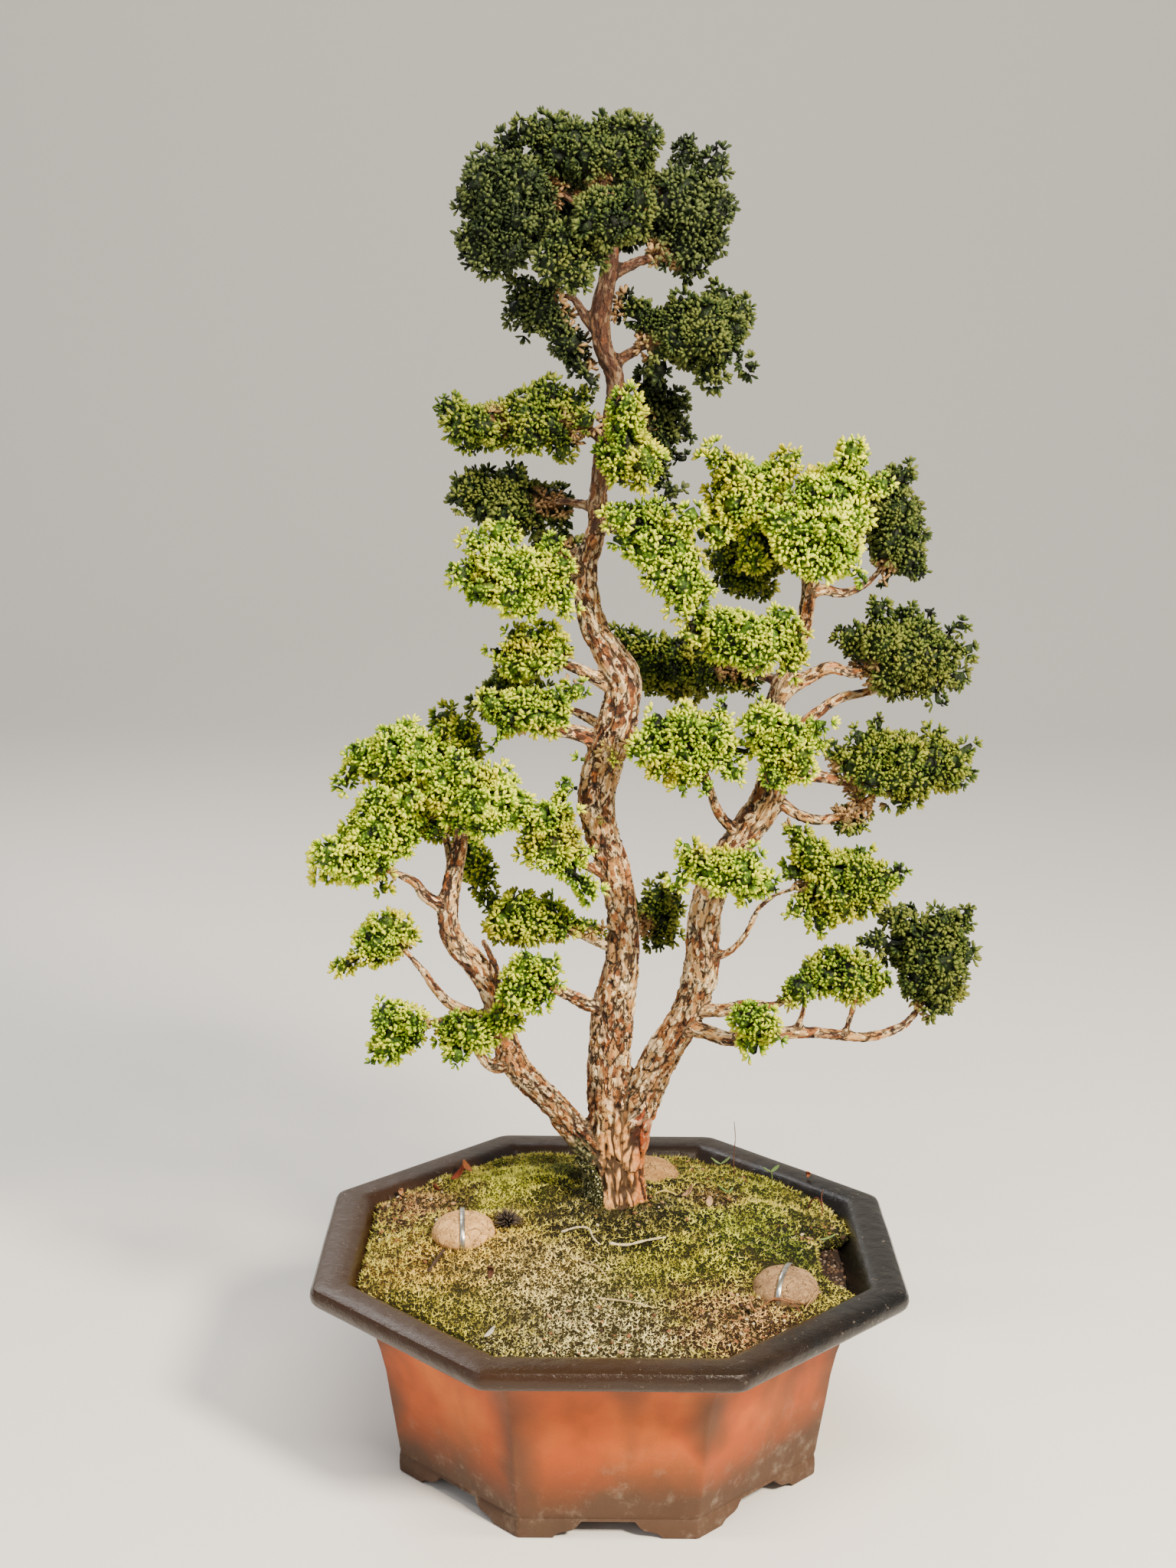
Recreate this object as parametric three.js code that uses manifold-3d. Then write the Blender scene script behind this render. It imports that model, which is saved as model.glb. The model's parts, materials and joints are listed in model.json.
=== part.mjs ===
// A dwarf cypress bonsai with three stems and crested foliage pads, in an octagonal clay pot.
// Millimetres, +Z up. The tree is seen from its front when looking along +Y.
// The numbers below are measured from the centre of the pot. At the end everything moves together, so
// that the origin is the middle of the whole outline, on the surface the pot stands on.
import * as THREE from 'three';
import { mergeVertices } from 'three/addons/utils/BufferGeometryUtils.js';
import Module from 'manifold-3d';

const wasm = await Module();
wasm.setup();

// Driving dimensions
const gap = 0.3;                 // air between two pieces that touch
const woodGap = 0.4;             // the same round the wood, and between two foliage pads
const padGap = 0.5;
const rimAcrossFlats = 400;
const baseAcrossFlats = 284;
const potHeight = 146;
const rimThickness = 15;
const rimWidth = 25;
const footHeight = 12;
const footBand = 14;             // radial thickness of the ring that the feet are cut from
const footGap = 72;              // open width between two feet on one side, at the surface
const floorTop = 24;
const drainHoleRadius = 14;
const drainHoleX = 64;
const tieHoleRadius = 4;
const tieHoleX = 30;
const layerTop = 38;             // top of the drainage layer
const soilEdge = 127;            // height of the soil at the wall
const soilRise = 15;             // how much higher it is at the centre
const mossEdge = 139;
const mossRise = 16;
const domeRadius = 175;          // distance from the axis where soil and moss reach their edge height
const collarRise = 4;            // moss climbing at the trunk
const collarRadius = 45;
const screenSide = 46;
const screenThickness = 1.2;
const meshPitch = 10;            // spacing of the screen's square openings
const meshOpening = 7;
const wireRadius = 1;
const cakeRadius = 22.5;
const cakeHeight = 18;
const cakeSink = 3;              // how deep a cake sits in the moss
const pinWidth = 3.6;
const pinThickness = 1;
const pinLeg = 22;               // length of a pin's leg below the cake's base
const blockReach = 205;          // half width of the blocks that trim the fillings to their surface
const blockRings = 5;
const blockSegments = 20;
const sleeveThickness = 4;
const tolerance = 0.12;          // finest detail kept where cut surfaces meet

const octagon = Math.PI / 8;
const cornerOverFlat = 1 / Math.cos(octagon);

// The pot's inner wall, as distance from the axis to a flat side and height
const cavityWall = [
  [126, floorTop],
  [130, 30],
  [139, 70],
  [148, 104],
  [163, 127],
  [172, 141],
  [rimAcrossFlats / 2 - rimWidth, potHeight],
];

// Stems: centre line and radius at each point, from the roots upwards
const trunk = [
  [8, 40, 116, 28],
  [7, 38, 141, 24],
  [6, 38, 160, 20.5],
  [5, 37, 185, 19],
  [2, 35, 212, 17],
  [0, 32, 240, 15.5],
  [-1, 29, 266, 15],
  [0, 26, 291, 15.2],
  [2, 22, 311, 14.5],
  [6, 18, 334, 12.5],
  [8, 15, 356, 11.5],
  [7, 12, 377, 10.6],
  [4, 9, 398, 10.3],
  [-1, 6, 418, 10.6],
  [-8, 3, 439, 11.4],
  [-11, 0, 462, 12],
  [-8, -2, 482, 12.4],
  [-2, -4, 501, 12.8],
  [4, -4, 521, 12.4],
  [6, -4, 543, 11.5],
  [-3, -3, 560, 10.4],
  [-14, -1, 578, 9],
  [-19, 1, 598, 8.6],
  [-20, 3, 618, 8],
  [-13, 6, 641, 6.4],
  [-12, 6, 663, 6.2],
  [-9, 4, 690, 6.2],
  [-2, -1, 724, 6],
  [-2, -3, 741, 6],
  [-9, -5, 756, 6.3],
  [-12, -8, 774, 6.4],
  [-9, -11, 794, 6],
  [-5, -14, 814, 5.2],
  [-8, -19, 841, 4.2],
  [-13, -22, 869, 2.5],
];
const rightStem = [
  [10, 34, 190, 15],
  [17, 31, 224, 14.5],
  [27, 26, 253, 13],
  [37, 21, 275, 12],
  [48, 15, 297, 11.5],
  [56, 9, 319, 11.5],
  [62, 4, 344, 12],
  [62, 0, 366, 11.6],
  [64, -3, 389, 10.8],
  [70, -6, 410, 10],
  [79, -8, 428, 10.4],
  [89, -8, 443, 11],
  [102, -6, 462, 11],
  [107, -2, 482, 9.4],
  [107, 2, 505, 7.6],
  [108, 6, 529, 6.6],
  [116, 9, 551, 6],
  [123, 11, 568, 5.6],
  [127, 12, 590, 5.2],
  [129, 12, 609, 5],
  [135, 8, 639, 3.5],
  [142, -4, 668, 2],
];
const leftStem = [
  [4, 34, 178, 12],
  [-14, 28, 203, 10.5],
  [-24, 24, 217, 9.8],
  [-37, 17, 236, 9.3],
  [-51, 10, 253, 9],
  [-63, 3, 269, 9],
  [-70, -3, 286, 9.2],
  [-76, -9, 306, 9],
  [-79, -13, 324, 9],
  [-84, -16, 339, 8.8],
  [-93, -17, 352, 8.4],
  [-102, -17, 362, 8],
  [-109, -15, 374, 7.6],
  [-110, -12, 389, 7],
  [-108, -9, 404, 6.2],
  [-105, -7, 420, 6],
  [-101, -6, 439, 4.5],
  [-98, -6, 463, 2.5],
];

// Branches that are seen bare for some length: centre line and radius
const branches = [
  [[-77, -12, 307, 5], [-94, -18, 316, 4.2], [-108, -22, 324, 3.8], [-118, -22, 334, 3.4], [-127, -21, 347, 2.8],
    [-140, -20, 362, 1.8]],
  [[-68, 0, 276, 6], [-78, -8, 275, 5], [-87, -18, 284, 3.4], [-95, -26, 301, 1.8]],
  [[-79, -16, 333, 4], [-79, -24, 353, 3], [-87, -28, 372, 1.8]],
  [[4, 22, 303, 6], [-10, 14, 311, 5.2], [-24, 2, 321, 4.6], [-38, -16, 334, 3.6], [-48, -32, 344, 2.6],
    [-57, -42, 352, 1.8]],
  [[-109, -12, 385, 5.6], [-117, -15, 392, 4.6], [-126, -18, 399, 4], [-133, -20, 409, 3.4], [-154, -26, 420, 2]],
  [[-8, -3, 501, 6.5], [-24, -8, 508, 5.4], [-40, -13, 511, 4.6], [-54, -17, 514, 3.6], [-65, -20, 518, 2]],
  [[0, -4, 537, 5], [-20, -8, 549, 4], [-42, -12, 558, 2.2]],
  [[50, 10, 299, 6], [66, -2, 299, 5.5], [81, -10, 297, 5], [103, -13, 301, 4.6], [125, -12, 303, 4.4],
    [149, -9, 301, 4], [175, -4, 297, 3.6], [200, 3, 303, 3.2], [215, 8, 319, 2]],
  [[58, 8, 313, 5.5], [74, -4, 315, 4.6], [91, -12, 322, 4], [111, -14, 323, 3], [123, -13, 330, 1.8]],
  [[66, 0, 352, 4], [79, -8, 358, 2.6], [90, -13, 372, 2.2], [98, -17, 391, 2], [112, -20, 403, 1.8],
    [138, -21, 410, 1.6]],
  [[87, -8, 440, 5], [77, -16, 448, 4.2], [68, -24, 461, 3.6], [62, -32, 479, 2.8], [56, -38, 500, 1.8]],
  [[102, -6, 459, 5], [112, -8, 461, 4.4], [123, -8, 454, 4], [139, -7, 450, 3.6], [158, -5, 456, 3],
    [177, -4, 469, 2]],
  [[106, -4, 475, 6], [119, -6, 479, 5], [135, -6, 480, 4.4], [149, -5, 477, 3.8], [165, -4, 475, 3],
    [181, -4, 481, 2]],
  [[108, 6, 529, 6], [118, 4, 539, 5.6], [130, 2, 546, 5], [143, 0, 552, 4.4], [160, 2, 548, 3.4],
    [181, 6, 553, 2]],
  [[108, 2, 498, 5.4], [123, 6, 510, 4.4], [137, 12, 520, 4], [152, 16, 529, 3.6], [174, 18, 534, 3],
    [192, 16, 543, 1.8]],
  [[128, 12, 602, 4.6], [139, 12, 602, 4], [152, 13, 600, 3.4], [166, 15, 606, 2.6], [180, 17, 620, 1.8]],
  [[-20, 2, 612, 5], [-32, -8, 619, 4.2], [-46, -18, 622, 3.2], [-57, -24, 620, 2]],
  [[-8, -12, 802, 4.2], [12, -8, 812, 3.6], [32, -2, 818, 2.8], [44, 4, 824, 1.8]],
  [[-12, -8, 768, 4], [-20, -7, 776, 3.4], [-28, -5, 788, 2.8], [-38, -2, 792, 1.8]],
];

// Twigs that run unseen into a pad, and the shoots that rise into the crowns
const twigs = [
  [[-7, -17, 832, 3.5], [-34, -18, 852, 2.6], [-52, -16, 858, 1.8]],
  [[-7, -18, 836, 3.5], [14, -10, 848, 2.6], [30, -4, 854, 1.8]],
  [[-6, -16, 824, 3.4], [-8, -38, 834, 2.6], [-6, -50, 838, 1.8]],
  [[-6, -15, 820, 3.6], [-10, 14, 840, 2.8], [-10, 40, 848, 1.8]],
  [[-4, -3, 748, 4], [20, -2, 762, 3.2], [44, 0, 770, 1.8]],
  [[-4, 1, 712, 4], [10, 24, 708, 3], [20, 40, 706, 1.8]],
  [[-8, 3, 694, 3.5], [0, -22, 698, 2.8], [6, -40, 694, 1.8]],
  [[-7, 2, 700, 4], [-26, 6, 708, 3.4], [-48, 8, 709, 2.8], [-84, -2, 712, 1.8]],
  [[-12, 6, 656, 4], [-32, 16, 658, 3], [-56, 24, 658, 1.8]],
  [[-13, 6, 644, 3.6], [4, -14, 642, 3], [20, -32, 640, 1.8]],
  [[133, 10, 628, 3.5], [108, 0, 656, 2.8], [94, -8, 666, 1.8]],
  [[131, 11, 618, 4], [132, -12, 628, 3], [128, -28, 634, 1.8]],
  [[128, 12, 604, 4], [124, 36, 622, 3], [120, 50, 634, 1.8]],
  [[119, 10, 558, 4], [108, -10, 572, 3.2], [94, -26, 576, 1.8]],
  [[112, 8, 540, 4], [94, 26, 544, 3.2], [72, 42, 545, 1.8]],
  [[0, -4, 508, 4], [-26, 16, 518, 3.2], [-54, 34, 522, 1.8]],
  [[107, -1, 490, 4], [108, -20, 502, 3], [106, -34, 510, 1.8]],
  [[71, -6, 412, 4], [74, -30, 418, 3], [75, -42, 424, 1.8]],
  [[8, 15, 352, 4], [18, 34, 360, 3], [28, 46, 366, 1.8]],
  [[84, -10, 298, 3.4], [92, -24, 306, 2.8], [97, -36, 315, 1.8]],
  [[126, -12, 303, 2.6], [130, -13, 318, 2.2], [132, -12, 332, 1.6]],
  [[160, -7, 300, 2.6], [164, -12, 320, 2.2], [168, -13, 336, 1.6]],
  [[-101, -6, 440, 4], [-118, -4, 462, 3], [-134, -2, 482, 1.8]],
  [[-101, -6, 438, 3.4], [-92, -20, 452, 2.8], [-88, -30, 462, 1.8]],
  [[-107, -8, 408, 3.6], [-112, 16, 424, 3], [-118, 38, 440, 1.8]],
  [[2, 8, 404, 4], [-22, -8, 420, 3.2], [-38, -20, 434, 1.8]],
  [[8, 15, 350, 4], [-20, 8, 364, 3.2], [-46, 6, 374, 1.8]],
  [[-96, -19, 317, 3], [-118, -20, 311, 2.6], [-136, -20, 308, 1.8]],
  [[-18, 4, 628, 3.6], [-26, 34, 624, 2.8], [-34, 52, 620, 1.8]],
];

// Foliage pads: each is one or more lobes, as centre and half size along X, Y and Z
const pads = {
  apex_top: [[-18, -12, 882, 48, 38, 19]],
  apex_left: [[-62, -15, 860, 34, 34, 28], [-72, -24, 826, 30, 26, 18]],
  apex_right: [[38, 0, 856, 32, 34, 28], [46, 8, 826, 23, 24, 17]],
  apex_front: [[-6, -58, 838, 36, 26, 24]],
  apex_back: [[-10, 52, 850, 56, 30, 32]],
  neck_left: [[-47, 0, 784, 24, 22, 20]],
  neck_right: [[60, 0, 770, 31, 30, 30], [28, -8, 764, 17, 20, 24]],
  neck_back: [[24, 48, 706, 24, 26, 27]],
  neck_front: [[5, -44, 718, 13, 15, 19], [10, -50, 684, 24, 20, 19]],
  upper_left: [[-52, 9, 708, 38, 30, 20], [-98, -4, 713, 23, 18, 14]],
  shade_left: [[-70, 30, 657, 42, 28, 21]],
  shade_back: [[-40, 62, 616, 32, 26, 24]],
  middle_left: [[-67, -28, 614, 38, 32, 28]],
  middle_right: [[28, -40, 640, 30, 24, 21], [46, -39, 612, 17, 18, 23]],
  crown_left: [[86, -10, 670, 26, 26, 26]],
  crown_front: [[128, -36, 634, 34, 28, 29], [146, -22, 670, 24, 24, 26]],
  crown_right: [[184, 18, 642, 23, 28, 38]],
  crown_back: [[112, 58, 636, 52, 30, 33]],
  stem_front: [[86, -32, 575, 40, 26, 24]],
  stem_back: [[60, 50, 545, 48, 30, 26]],
  elbow_left_top: [[-56, -12, 562, 30, 26, 21]],
  elbow_left_low: [[-56, -26, 526, 34, 26, 17]],
  elbow_left_back: [[-66, 44, 524, 32, 26, 22]],
  heart_left: [[54, -42, 507, 32, 26, 28]],
  heart_right: [[106, -42, 513, 24, 22, 26]],
  far_upper: [[195, 10, 560, 42, 32, 31]],
  far_middle: [[190, -4, 488, 48, 32, 23]],
  low_front: [[75, -52, 426, 32, 24, 22]],
  low_right: [[157, -22, 408, 38, 28, 28]],
  trunk_back: [[32, 54, 368, 20, 22, 22]],
  reach_inner: [[98, -40, 318, 21, 20, 22]],
  reach_middle: [[130, -12, 341, 18, 16, 18], [168, -14, 346, 26, 20, 21]],
  reach_tip: [[221, 8, 346, 34, 28, 37]],
  left_crown_top: [[-138, 0, 488, 40, 32, 20]],
  left_crown_side: [[-150, -20, 452, 34, 28, 21], [-172, -28, 424, 27, 22, 18]],
  left_crown_front: [[-88, -34, 467, 36, 28, 30]],
  left_crown_inner: [[-40, -24, 441, 26, 24, 32]],
  left_crown_back: [[-120, 48, 446, 44, 28, 32]],
  left_low_tip: [[-151, -20, 368, 27, 22, 20]],
  left_low_back: [[-56, 6, 376, 40, 26, 22]],
  left_low_front: [[-58, -46, 347, 24, 20, 26]],
  left_low_end: [[-141, -20, 308, 23, 20, 19]],
  left_low_heart: [[-97, -32, 307, 20, 18, 23]],
};

// Where the moss is hollow towards the rim, and where it climbs the trunk: centre and half size
const mossHollow = [161, -24, 152, 19, 50, 40];
const sleeveReach = [-18, 28, 168, 17, 20, 30];

// Things that lie on the moss: place, and for a pin its turn about Z
const cakes = { left: [-101, -6], right: [117, -78], back: [37, 112] };
const pins = { left: [-102, -6, 0.06], right: [117, -78, -0.3] };
const tuft = [-68, 2, 8.5];      // the third number is its radius
const rootCount = 6;
const rootReach = 98;
const bumpCount = 9;             // bumps on one lobe of foliage
const bumpTurn = 2.4;            // golden angle, so that the bumps lie evenly
const seedStep = 1.7;            // how much the bumps are turned from one pad to the next

const clay = { color: 0xa65f38, roughness: 0.75, metalness: 0 };
const bark = { color: 0x8a6a50, roughness: 0.9, metalness: 0 };
const leaf = { color: 0x5f7f2a, roughness: 0.7, metalness: 0 };
const mossGreen = { color: 0x8b8f3a, roughness: 0.95, metalness: 0 };
const sleeveGreen = { color: 0x3d4a2c, roughness: 0.95, metalness: 0 };
const earth = { color: 0x5a4432, roughness: 1, metalness: 0 };
const grit = { color: 0x8c8478, roughness: 1, metalness: 0 };
const plasticMesh = { color: 0x202020, roughness: 0.6, metalness: 0 };
const wire = { color: 0x9a9a98, roughness: 0.4, metalness: 1 };
const cakeBrown = { color: 0xa88866, roughness: 0.95, metalness: 0 };
const darkMoss = { color: 0x2b2622, roughness: 1, metalness: 0 };

// Solids

function toSolid(geometry) {
  geometry.deleteAttribute('normal');
  geometry.deleteAttribute('uv');
  const merged = mergeVertices(geometry, 1e-3);
  const corners = merged.index.array;
  const kept = [];
  for (let i = 0; i < corners.length; i += 3) {
    const [a, b, c] = [corners[i], corners[i + 1], corners[i + 2]];
    if (a !== b && b !== c && c !== a) kept.push(a, b, c);
  }
  const vertProperties = Float32Array.from(merged.attributes.position.array);
  const triVerts = Uint32Array.from(kept);
  return new wasm.Manifold(new wasm.Mesh({ numProp: 3, vertProperties, triVerts }));
}

function toGeometry(solid) {
  const mesh = solid.getMesh();
  const geometry = new THREE.BufferGeometry();
  geometry.setAttribute('position', new THREE.BufferAttribute(Float32Array.from(mesh.vertProperties), 3));
  geometry.setIndex(Array.from(mesh.triVerts));
  geometry.computeVertexNormals();
  return geometry;
}

function largestBody(solid) {
  const bodies = solid.decompose();
  bodies.sort((a, b) => b.volume() - a.volume());
  return bodies[0];
}

function joined(solids) {
  return solids.reduce((whole, next) => whole.add(next));
}

const group = new THREE.Group();
group.name = 'cypress_bonsai';

function addPiece(name, solid, finish) {
  const mesh = new THREE.Mesh(toGeometry(solid.simplify(tolerance)), new THREE.MeshStandardMaterial(finish));
  mesh.name = name;
  group.add(mesh);
}

// A turned profile of [radius, height] points about the Z axis
function turned(profile, segments, firstAngle = 0) {
  const points = profile.map(([radius, height]) => new THREE.Vector2(radius, height));
  const geometry = new THREE.LatheGeometry(points, segments, firstAngle);
  geometry.rotateX(Math.PI / 2);
  return toSolid(geometry);
}

// The same with eight flat sides, its radii given to the flats, and one flat facing -Y
function eightSided(profile) {
  return turned(profile.map(([flat, height]) => [flat * cornerOverFlat, height]), 8, octagon);
}

// A tapering limb: a closed cylinder whose rings are laid along a smooth line of [x, y, z, radius]
function limb(line, sides, stepsPerSpan, grow = 0) {
  const curve = new THREE.CatmullRomCurve3(line.map(([x, y, z]) => new THREE.Vector3(x, y, z)));
  const steps = (line.length - 1) * stepsPerSpan;
  const rings = [];
  const across = new THREE.Vector3(1, 0, 0);
  for (let i = 0; i <= steps; i += 1) {
    const t = i / steps;
    const along = curve.getTangent(t);
    across.addScaledVector(along, -across.dot(along)).normalize();
    const span = Math.min(Math.floor(t * (line.length - 1)), line.length - 2);
    const part = t * (line.length - 1) - span;
    rings.push({
      centre: curve.getPoint(t),
      across: across.clone(),
      side: new THREE.Vector3().crossVectors(across, along),
      radius: line[span][3] * (1 - part) + line[span + 1][3] * part + grow,
    });
  }
  const geometry = new THREE.CylinderGeometry(1, 1, steps, sides, steps);
  const place = geometry.attributes.position;
  for (let i = 0; i < place.count; i += 1) {
    const ring = rings[Math.round(place.getY(i) + steps / 2)];
    const point = ring.centre.clone();
    point.addScaledVector(ring.across, place.getX(i) * ring.radius);
    point.addScaledVector(ring.side, place.getZ(i) * ring.radius);
    place.setXYZ(i, point.x, point.y, point.z);
  }
  return toSolid(geometry);
}

function roots() {
  const [centreX, centreY, level] = trunk[1];
  const lines = [];
  for (let i = 0; i < rootCount; i += 1) {
    const angle = 0.35 + (i * 2 * Math.PI) / rootCount;
    const reach = rootReach * (1 - 0.12 * (i % 3));
    const at = (share, height, radius) => [
      centreX + Math.cos(angle + 0.3 * share) * reach * share,
      centreY + Math.sin(angle + 0.3 * share) * reach * share,
      height,
      radius,
    ];
    lines.push([at(0.08, level - 14, 13), at(0.35, level - 22, 9), at(0.68, level - 36, 6), at(1, level - 52, 3)]);
  }
  return lines;
}

function treeWood(grow = 0) {
  return joined([
    limb(trunk, 10, 1, grow),
    limb(rightStem, 8, 1, grow),
    limb(leftStem, 8, 1, grow),
    ...roots().map((line) => limb(line, 5, 1, grow)),
    ...branches.map((line) => limb(line, 5, 1, grow)),
    ...twigs.map((line) => limb(line, 4, 1, grow)),
  ]);
}

// A lumpy ball of foliage: bumps spread evenly over it, turned by its own seed
function foliageLobe([x, y, z, halfX, halfY, halfZ], seed, grow = 0) {
  const detail = Math.max(halfX, halfY, halfZ) > 47 ? 2 : 1;
  const geometry = new THREE.IcosahedronGeometry(1, detail);
  const place = geometry.attributes.position;
  const bumps = [];
  for (let i = 0; i < bumpCount; i += 1) {
    const height = 1 - (2 * i + 1) / bumpCount;
    const turn = i * bumpTurn + seed;
    const flat = Math.sqrt(1 - height * height);
    bumps.push(new THREE.Vector3(flat * Math.cos(turn), flat * Math.sin(turn), height));
  }
  const point = new THREE.Vector3();
  for (let i = 0; i < place.count; i += 1) {
    point.fromBufferAttribute(place, i).normalize();
    const nearness = Math.max(...bumps.map((bump) => bump.dot(point)));
    const swell = 0.74 + 0.32 * nearness ** 2;
    place.setXYZ(i, x + point.x * (halfX * swell + grow), y + point.y * (halfY * swell + grow),
      z + point.z * (halfZ * swell + grow));
  }
  return toSolid(geometry);
}

function foliagePad(lobes, seed, grow = 0) {
  return joined(lobes.map((lobe, i) => foliageLobe(lobe, seed + i, grow)));
}

// Pot

function pot() {
  const rim = rimAcrossFlats / 2;
  const base = baseAcrossFlats / 2;
  const under = potHeight - rimThickness;
  const outerWall = [
    [base, footHeight],
    [base + 4, 42],
    [base + 9, 76],
    [base + 16, 104],
    [base + 25, 119],
    [base + 39, under - 1],
    [rim - 7, under],
    [rim - 2, under + 3],
    [rim, under + 8],
    [rim - 2, potHeight - 3],
    [rim - 6, potHeight],
  ];
  const innerWall = [...cavityWall].reverse();
  const shell = eightSided([[0, footHeight], ...outerWall, ...innerWall, [0, floorTop]]);
  const band = eightSided([
    [base - footBand, 0], [base, 0], [base + 1, footHeight / 2], [base - 1, footHeight + 2],
    [base - footBand, footHeight + 2], [base - footBand, 0],
  ]);
  let body = shell.add(band);
  for (let i = 0; i < 8; i += 1) {
    body = body.subtract(footArch().rotate([0, 0, i * 45]));
  }
  for (const side of [-1, 1]) {
    body = body.subtract(hole(side * drainHoleX, 0, drainHoleRadius, 16));
    body = body.subtract(hole(side * tieHoleX, 0, tieHoleRadius, 8));
  }
  return body;
}

// The opening between two feet on one side: its ends curve in and out like a bracket
function footArch() {
  const half = footGap / 2;
  const shape = new THREE.Shape();
  shape.moveTo(-half, -1);
  shape.quadraticCurveTo(-half + 3, 4, -half + 9, 5);
  shape.quadraticCurveTo(-half + 15, 7, -half + 17, footHeight);
  shape.lineTo(half - 17, footHeight);
  shape.quadraticCurveTo(half - 15, 7, half - 9, 5);
  shape.quadraticCurveTo(half - 3, 4, half, -1);
  shape.closePath();
  const geometry = new THREE.ExtrudeGeometry(shape, { depth: 40, bevelEnabled: false, curveSegments: 3 });
  geometry.rotateX(Math.PI / 2);
  geometry.translate(0, -baseAcrossFlats / 2 + 25, 0);
  return toSolid(geometry);
}

function hole(x, y, radius, sides) {
  const geometry = new THREE.CylinderGeometry(radius, radius, floorTop + 10, sides);
  geometry.rotateX(Math.PI / 2);
  geometry.translate(x, y, floorTop / 2);
  return toSolid(geometry);
}

// Fillings

function wallDistance(height) {
  const next = Math.max(1, cavityWall.findIndex(([, level]) => level >= height));
  const [flatA, levelA] = cavityWall[next - 1];
  const [flatB, levelB] = cavityWall[next];
  return flatA + ((flatB - flatA) * (height - levelA)) / (levelB - levelA);
}

// What fills the cavity between two heights, clear of the wall, with an optional peak at the axis
function cavityFill(bottom, top, peak = top) {
  const between = cavityWall.filter(([, level]) => level > bottom && level < top);
  return eightSided([
    [0, bottom],
    [wallDistance(bottom) - gap, bottom],
    ...between.map(([flat, level]) => [flat - gap, level]),
    [wallDistance(top) - gap, top],
    [0, peak],
  ]);
}

// A wide block with a modelled top, used to trim a filling to its surface
function block(surface, raise = 0) {
  const profile = [[0, 0], [1, 0]];
  for (let i = blockRings; i >= 0; i -= 1) profile.push([i / blockRings, 1]);
  const points = profile.map(([radius, level]) => new THREE.Vector2(radius, level));
  const geometry = new THREE.LatheGeometry(points, blockSegments);
  geometry.rotateX(Math.PI / 2);
  const place = geometry.attributes.position;
  for (let i = 0; i < place.count; i += 1) {
    const x = place.getX(i) * blockReach;
    const y = place.getY(i) * blockReach;
    place.setXYZ(i, x, y, place.getZ(i) > 0.5 ? surface(x, y) + raise : 0);
  }
  return toSolid(geometry);
}

// A ball stretched along the three axes, as centre and half sizes
function ellipsoid([x, y, z, halfX, halfY, halfZ]) {
  const geometry = new THREE.SphereGeometry(1, 12, 8);
  geometry.scale(halfX, halfY, halfZ);
  geometry.translate(x, y, z);
  return toSolid(geometry);
}

function soilSurface(x, y) {
  return soilEdge + soilRise * (1 - (x * x + y * y) / domeRadius ** 2);
}

// Moss: a dome with soft lumps, lifted a little around the trunk and low on the far right
function mossSurface(x, y) {
  const dome = mossRise * (1 - (x * x + y * y) / domeRadius ** 2);
  const lumps = 1.6 * Math.sin(x / 21 + 1) * Math.cos(y / 17) + 1.1 * Math.sin(x / 11) * Math.sin(y / 13 + 2);
  const [trunkX, trunkY] = trunk[2];
  const fromTrunk = (x - trunkX) ** 2 + (y - trunkY) ** 2;
  const collar = collarRise * Math.exp(-fromTrunk / collarRadius ** 2);
  return mossEdge + dome + lumps + collar;
}

function cake([x, y], grow = 0) {
  const profile = [
    [0, -grow],
    [cakeRadius - 3 + grow, -grow],
    [cakeRadius + grow, 4],
    [cakeRadius - 2.5 + grow, cakeHeight * 0.6],
    [cakeRadius - 10 + grow, cakeHeight * 0.92],
    [0, cakeHeight + grow],
  ];
  return turned(profile, 14).translate([x, y, mossSurface(x, y) - cakeSink]);
}

// A flat strip bent over a cake, with both legs pushed into the soil
function pin([x, y, turn], grow = 0) {
  const clear = 1.5 * gap;
  const inner = [
    [cakeRadius + clear, -pinLeg],
    [cakeRadius + clear, 4],
    [cakeRadius - 2.5 + clear, cakeHeight * 0.6 + clear],
    [cakeRadius - 10 + clear, cakeHeight * 0.92 + clear],
    [0, cakeHeight + clear],
  ];
  const outer = [
    [cakeRadius + clear + pinThickness, -pinLeg],
    [cakeRadius + clear + pinThickness, 4.4],
    [cakeRadius - 2.2 + clear + pinThickness, cakeHeight * 0.6 + clear + pinThickness],
    [cakeRadius - 9.6 + clear + pinThickness, cakeHeight * 0.92 + clear + pinThickness],
    [0, cakeHeight + clear + pinThickness],
  ];
  const mirrored = (side) => side.slice(0, -1).reverse().map(([across, height]) => [-across, height]);
  const outline = [...outer, ...mirrored(outer), ...[...inner, ...mirrored(inner)].reverse()];
  const shape = new THREE.Shape(outline.map(([across, height]) => new THREE.Vector2(across, height)));
  const geometry = new THREE.ExtrudeGeometry(shape, { depth: pinWidth, bevelEnabled: false });
  geometry.translate(0, 0, -pinWidth / 2);
  geometry.rotateX(Math.PI / 2);
  geometry.rotateZ(Math.PI / 2 + turn);
  const strip = toSolid(geometry).translate([x, y, mossSurface(x, y) - cakeSink]);
  return grow === 0 ? strip : thickened(strip, grow);
}

// A solid together with copies of it moved a little every way, for cutting a clear space round it
function thickened(solid, grow) {
  const moves = [];
  for (const x of [-grow, grow]) {
    for (const y of [-grow, grow]) {
      moves.push(solid.translate([x, y, -grow]));
    }
  }
  return joined([solid, ...moves]);
}

function box(sizeX, sizeY, sizeZ, x, y, z) {
  const geometry = new THREE.BoxGeometry(sizeX, sizeY, sizeZ);
  geometry.translate(x, y, z);
  return toSolid(geometry);
}

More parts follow.
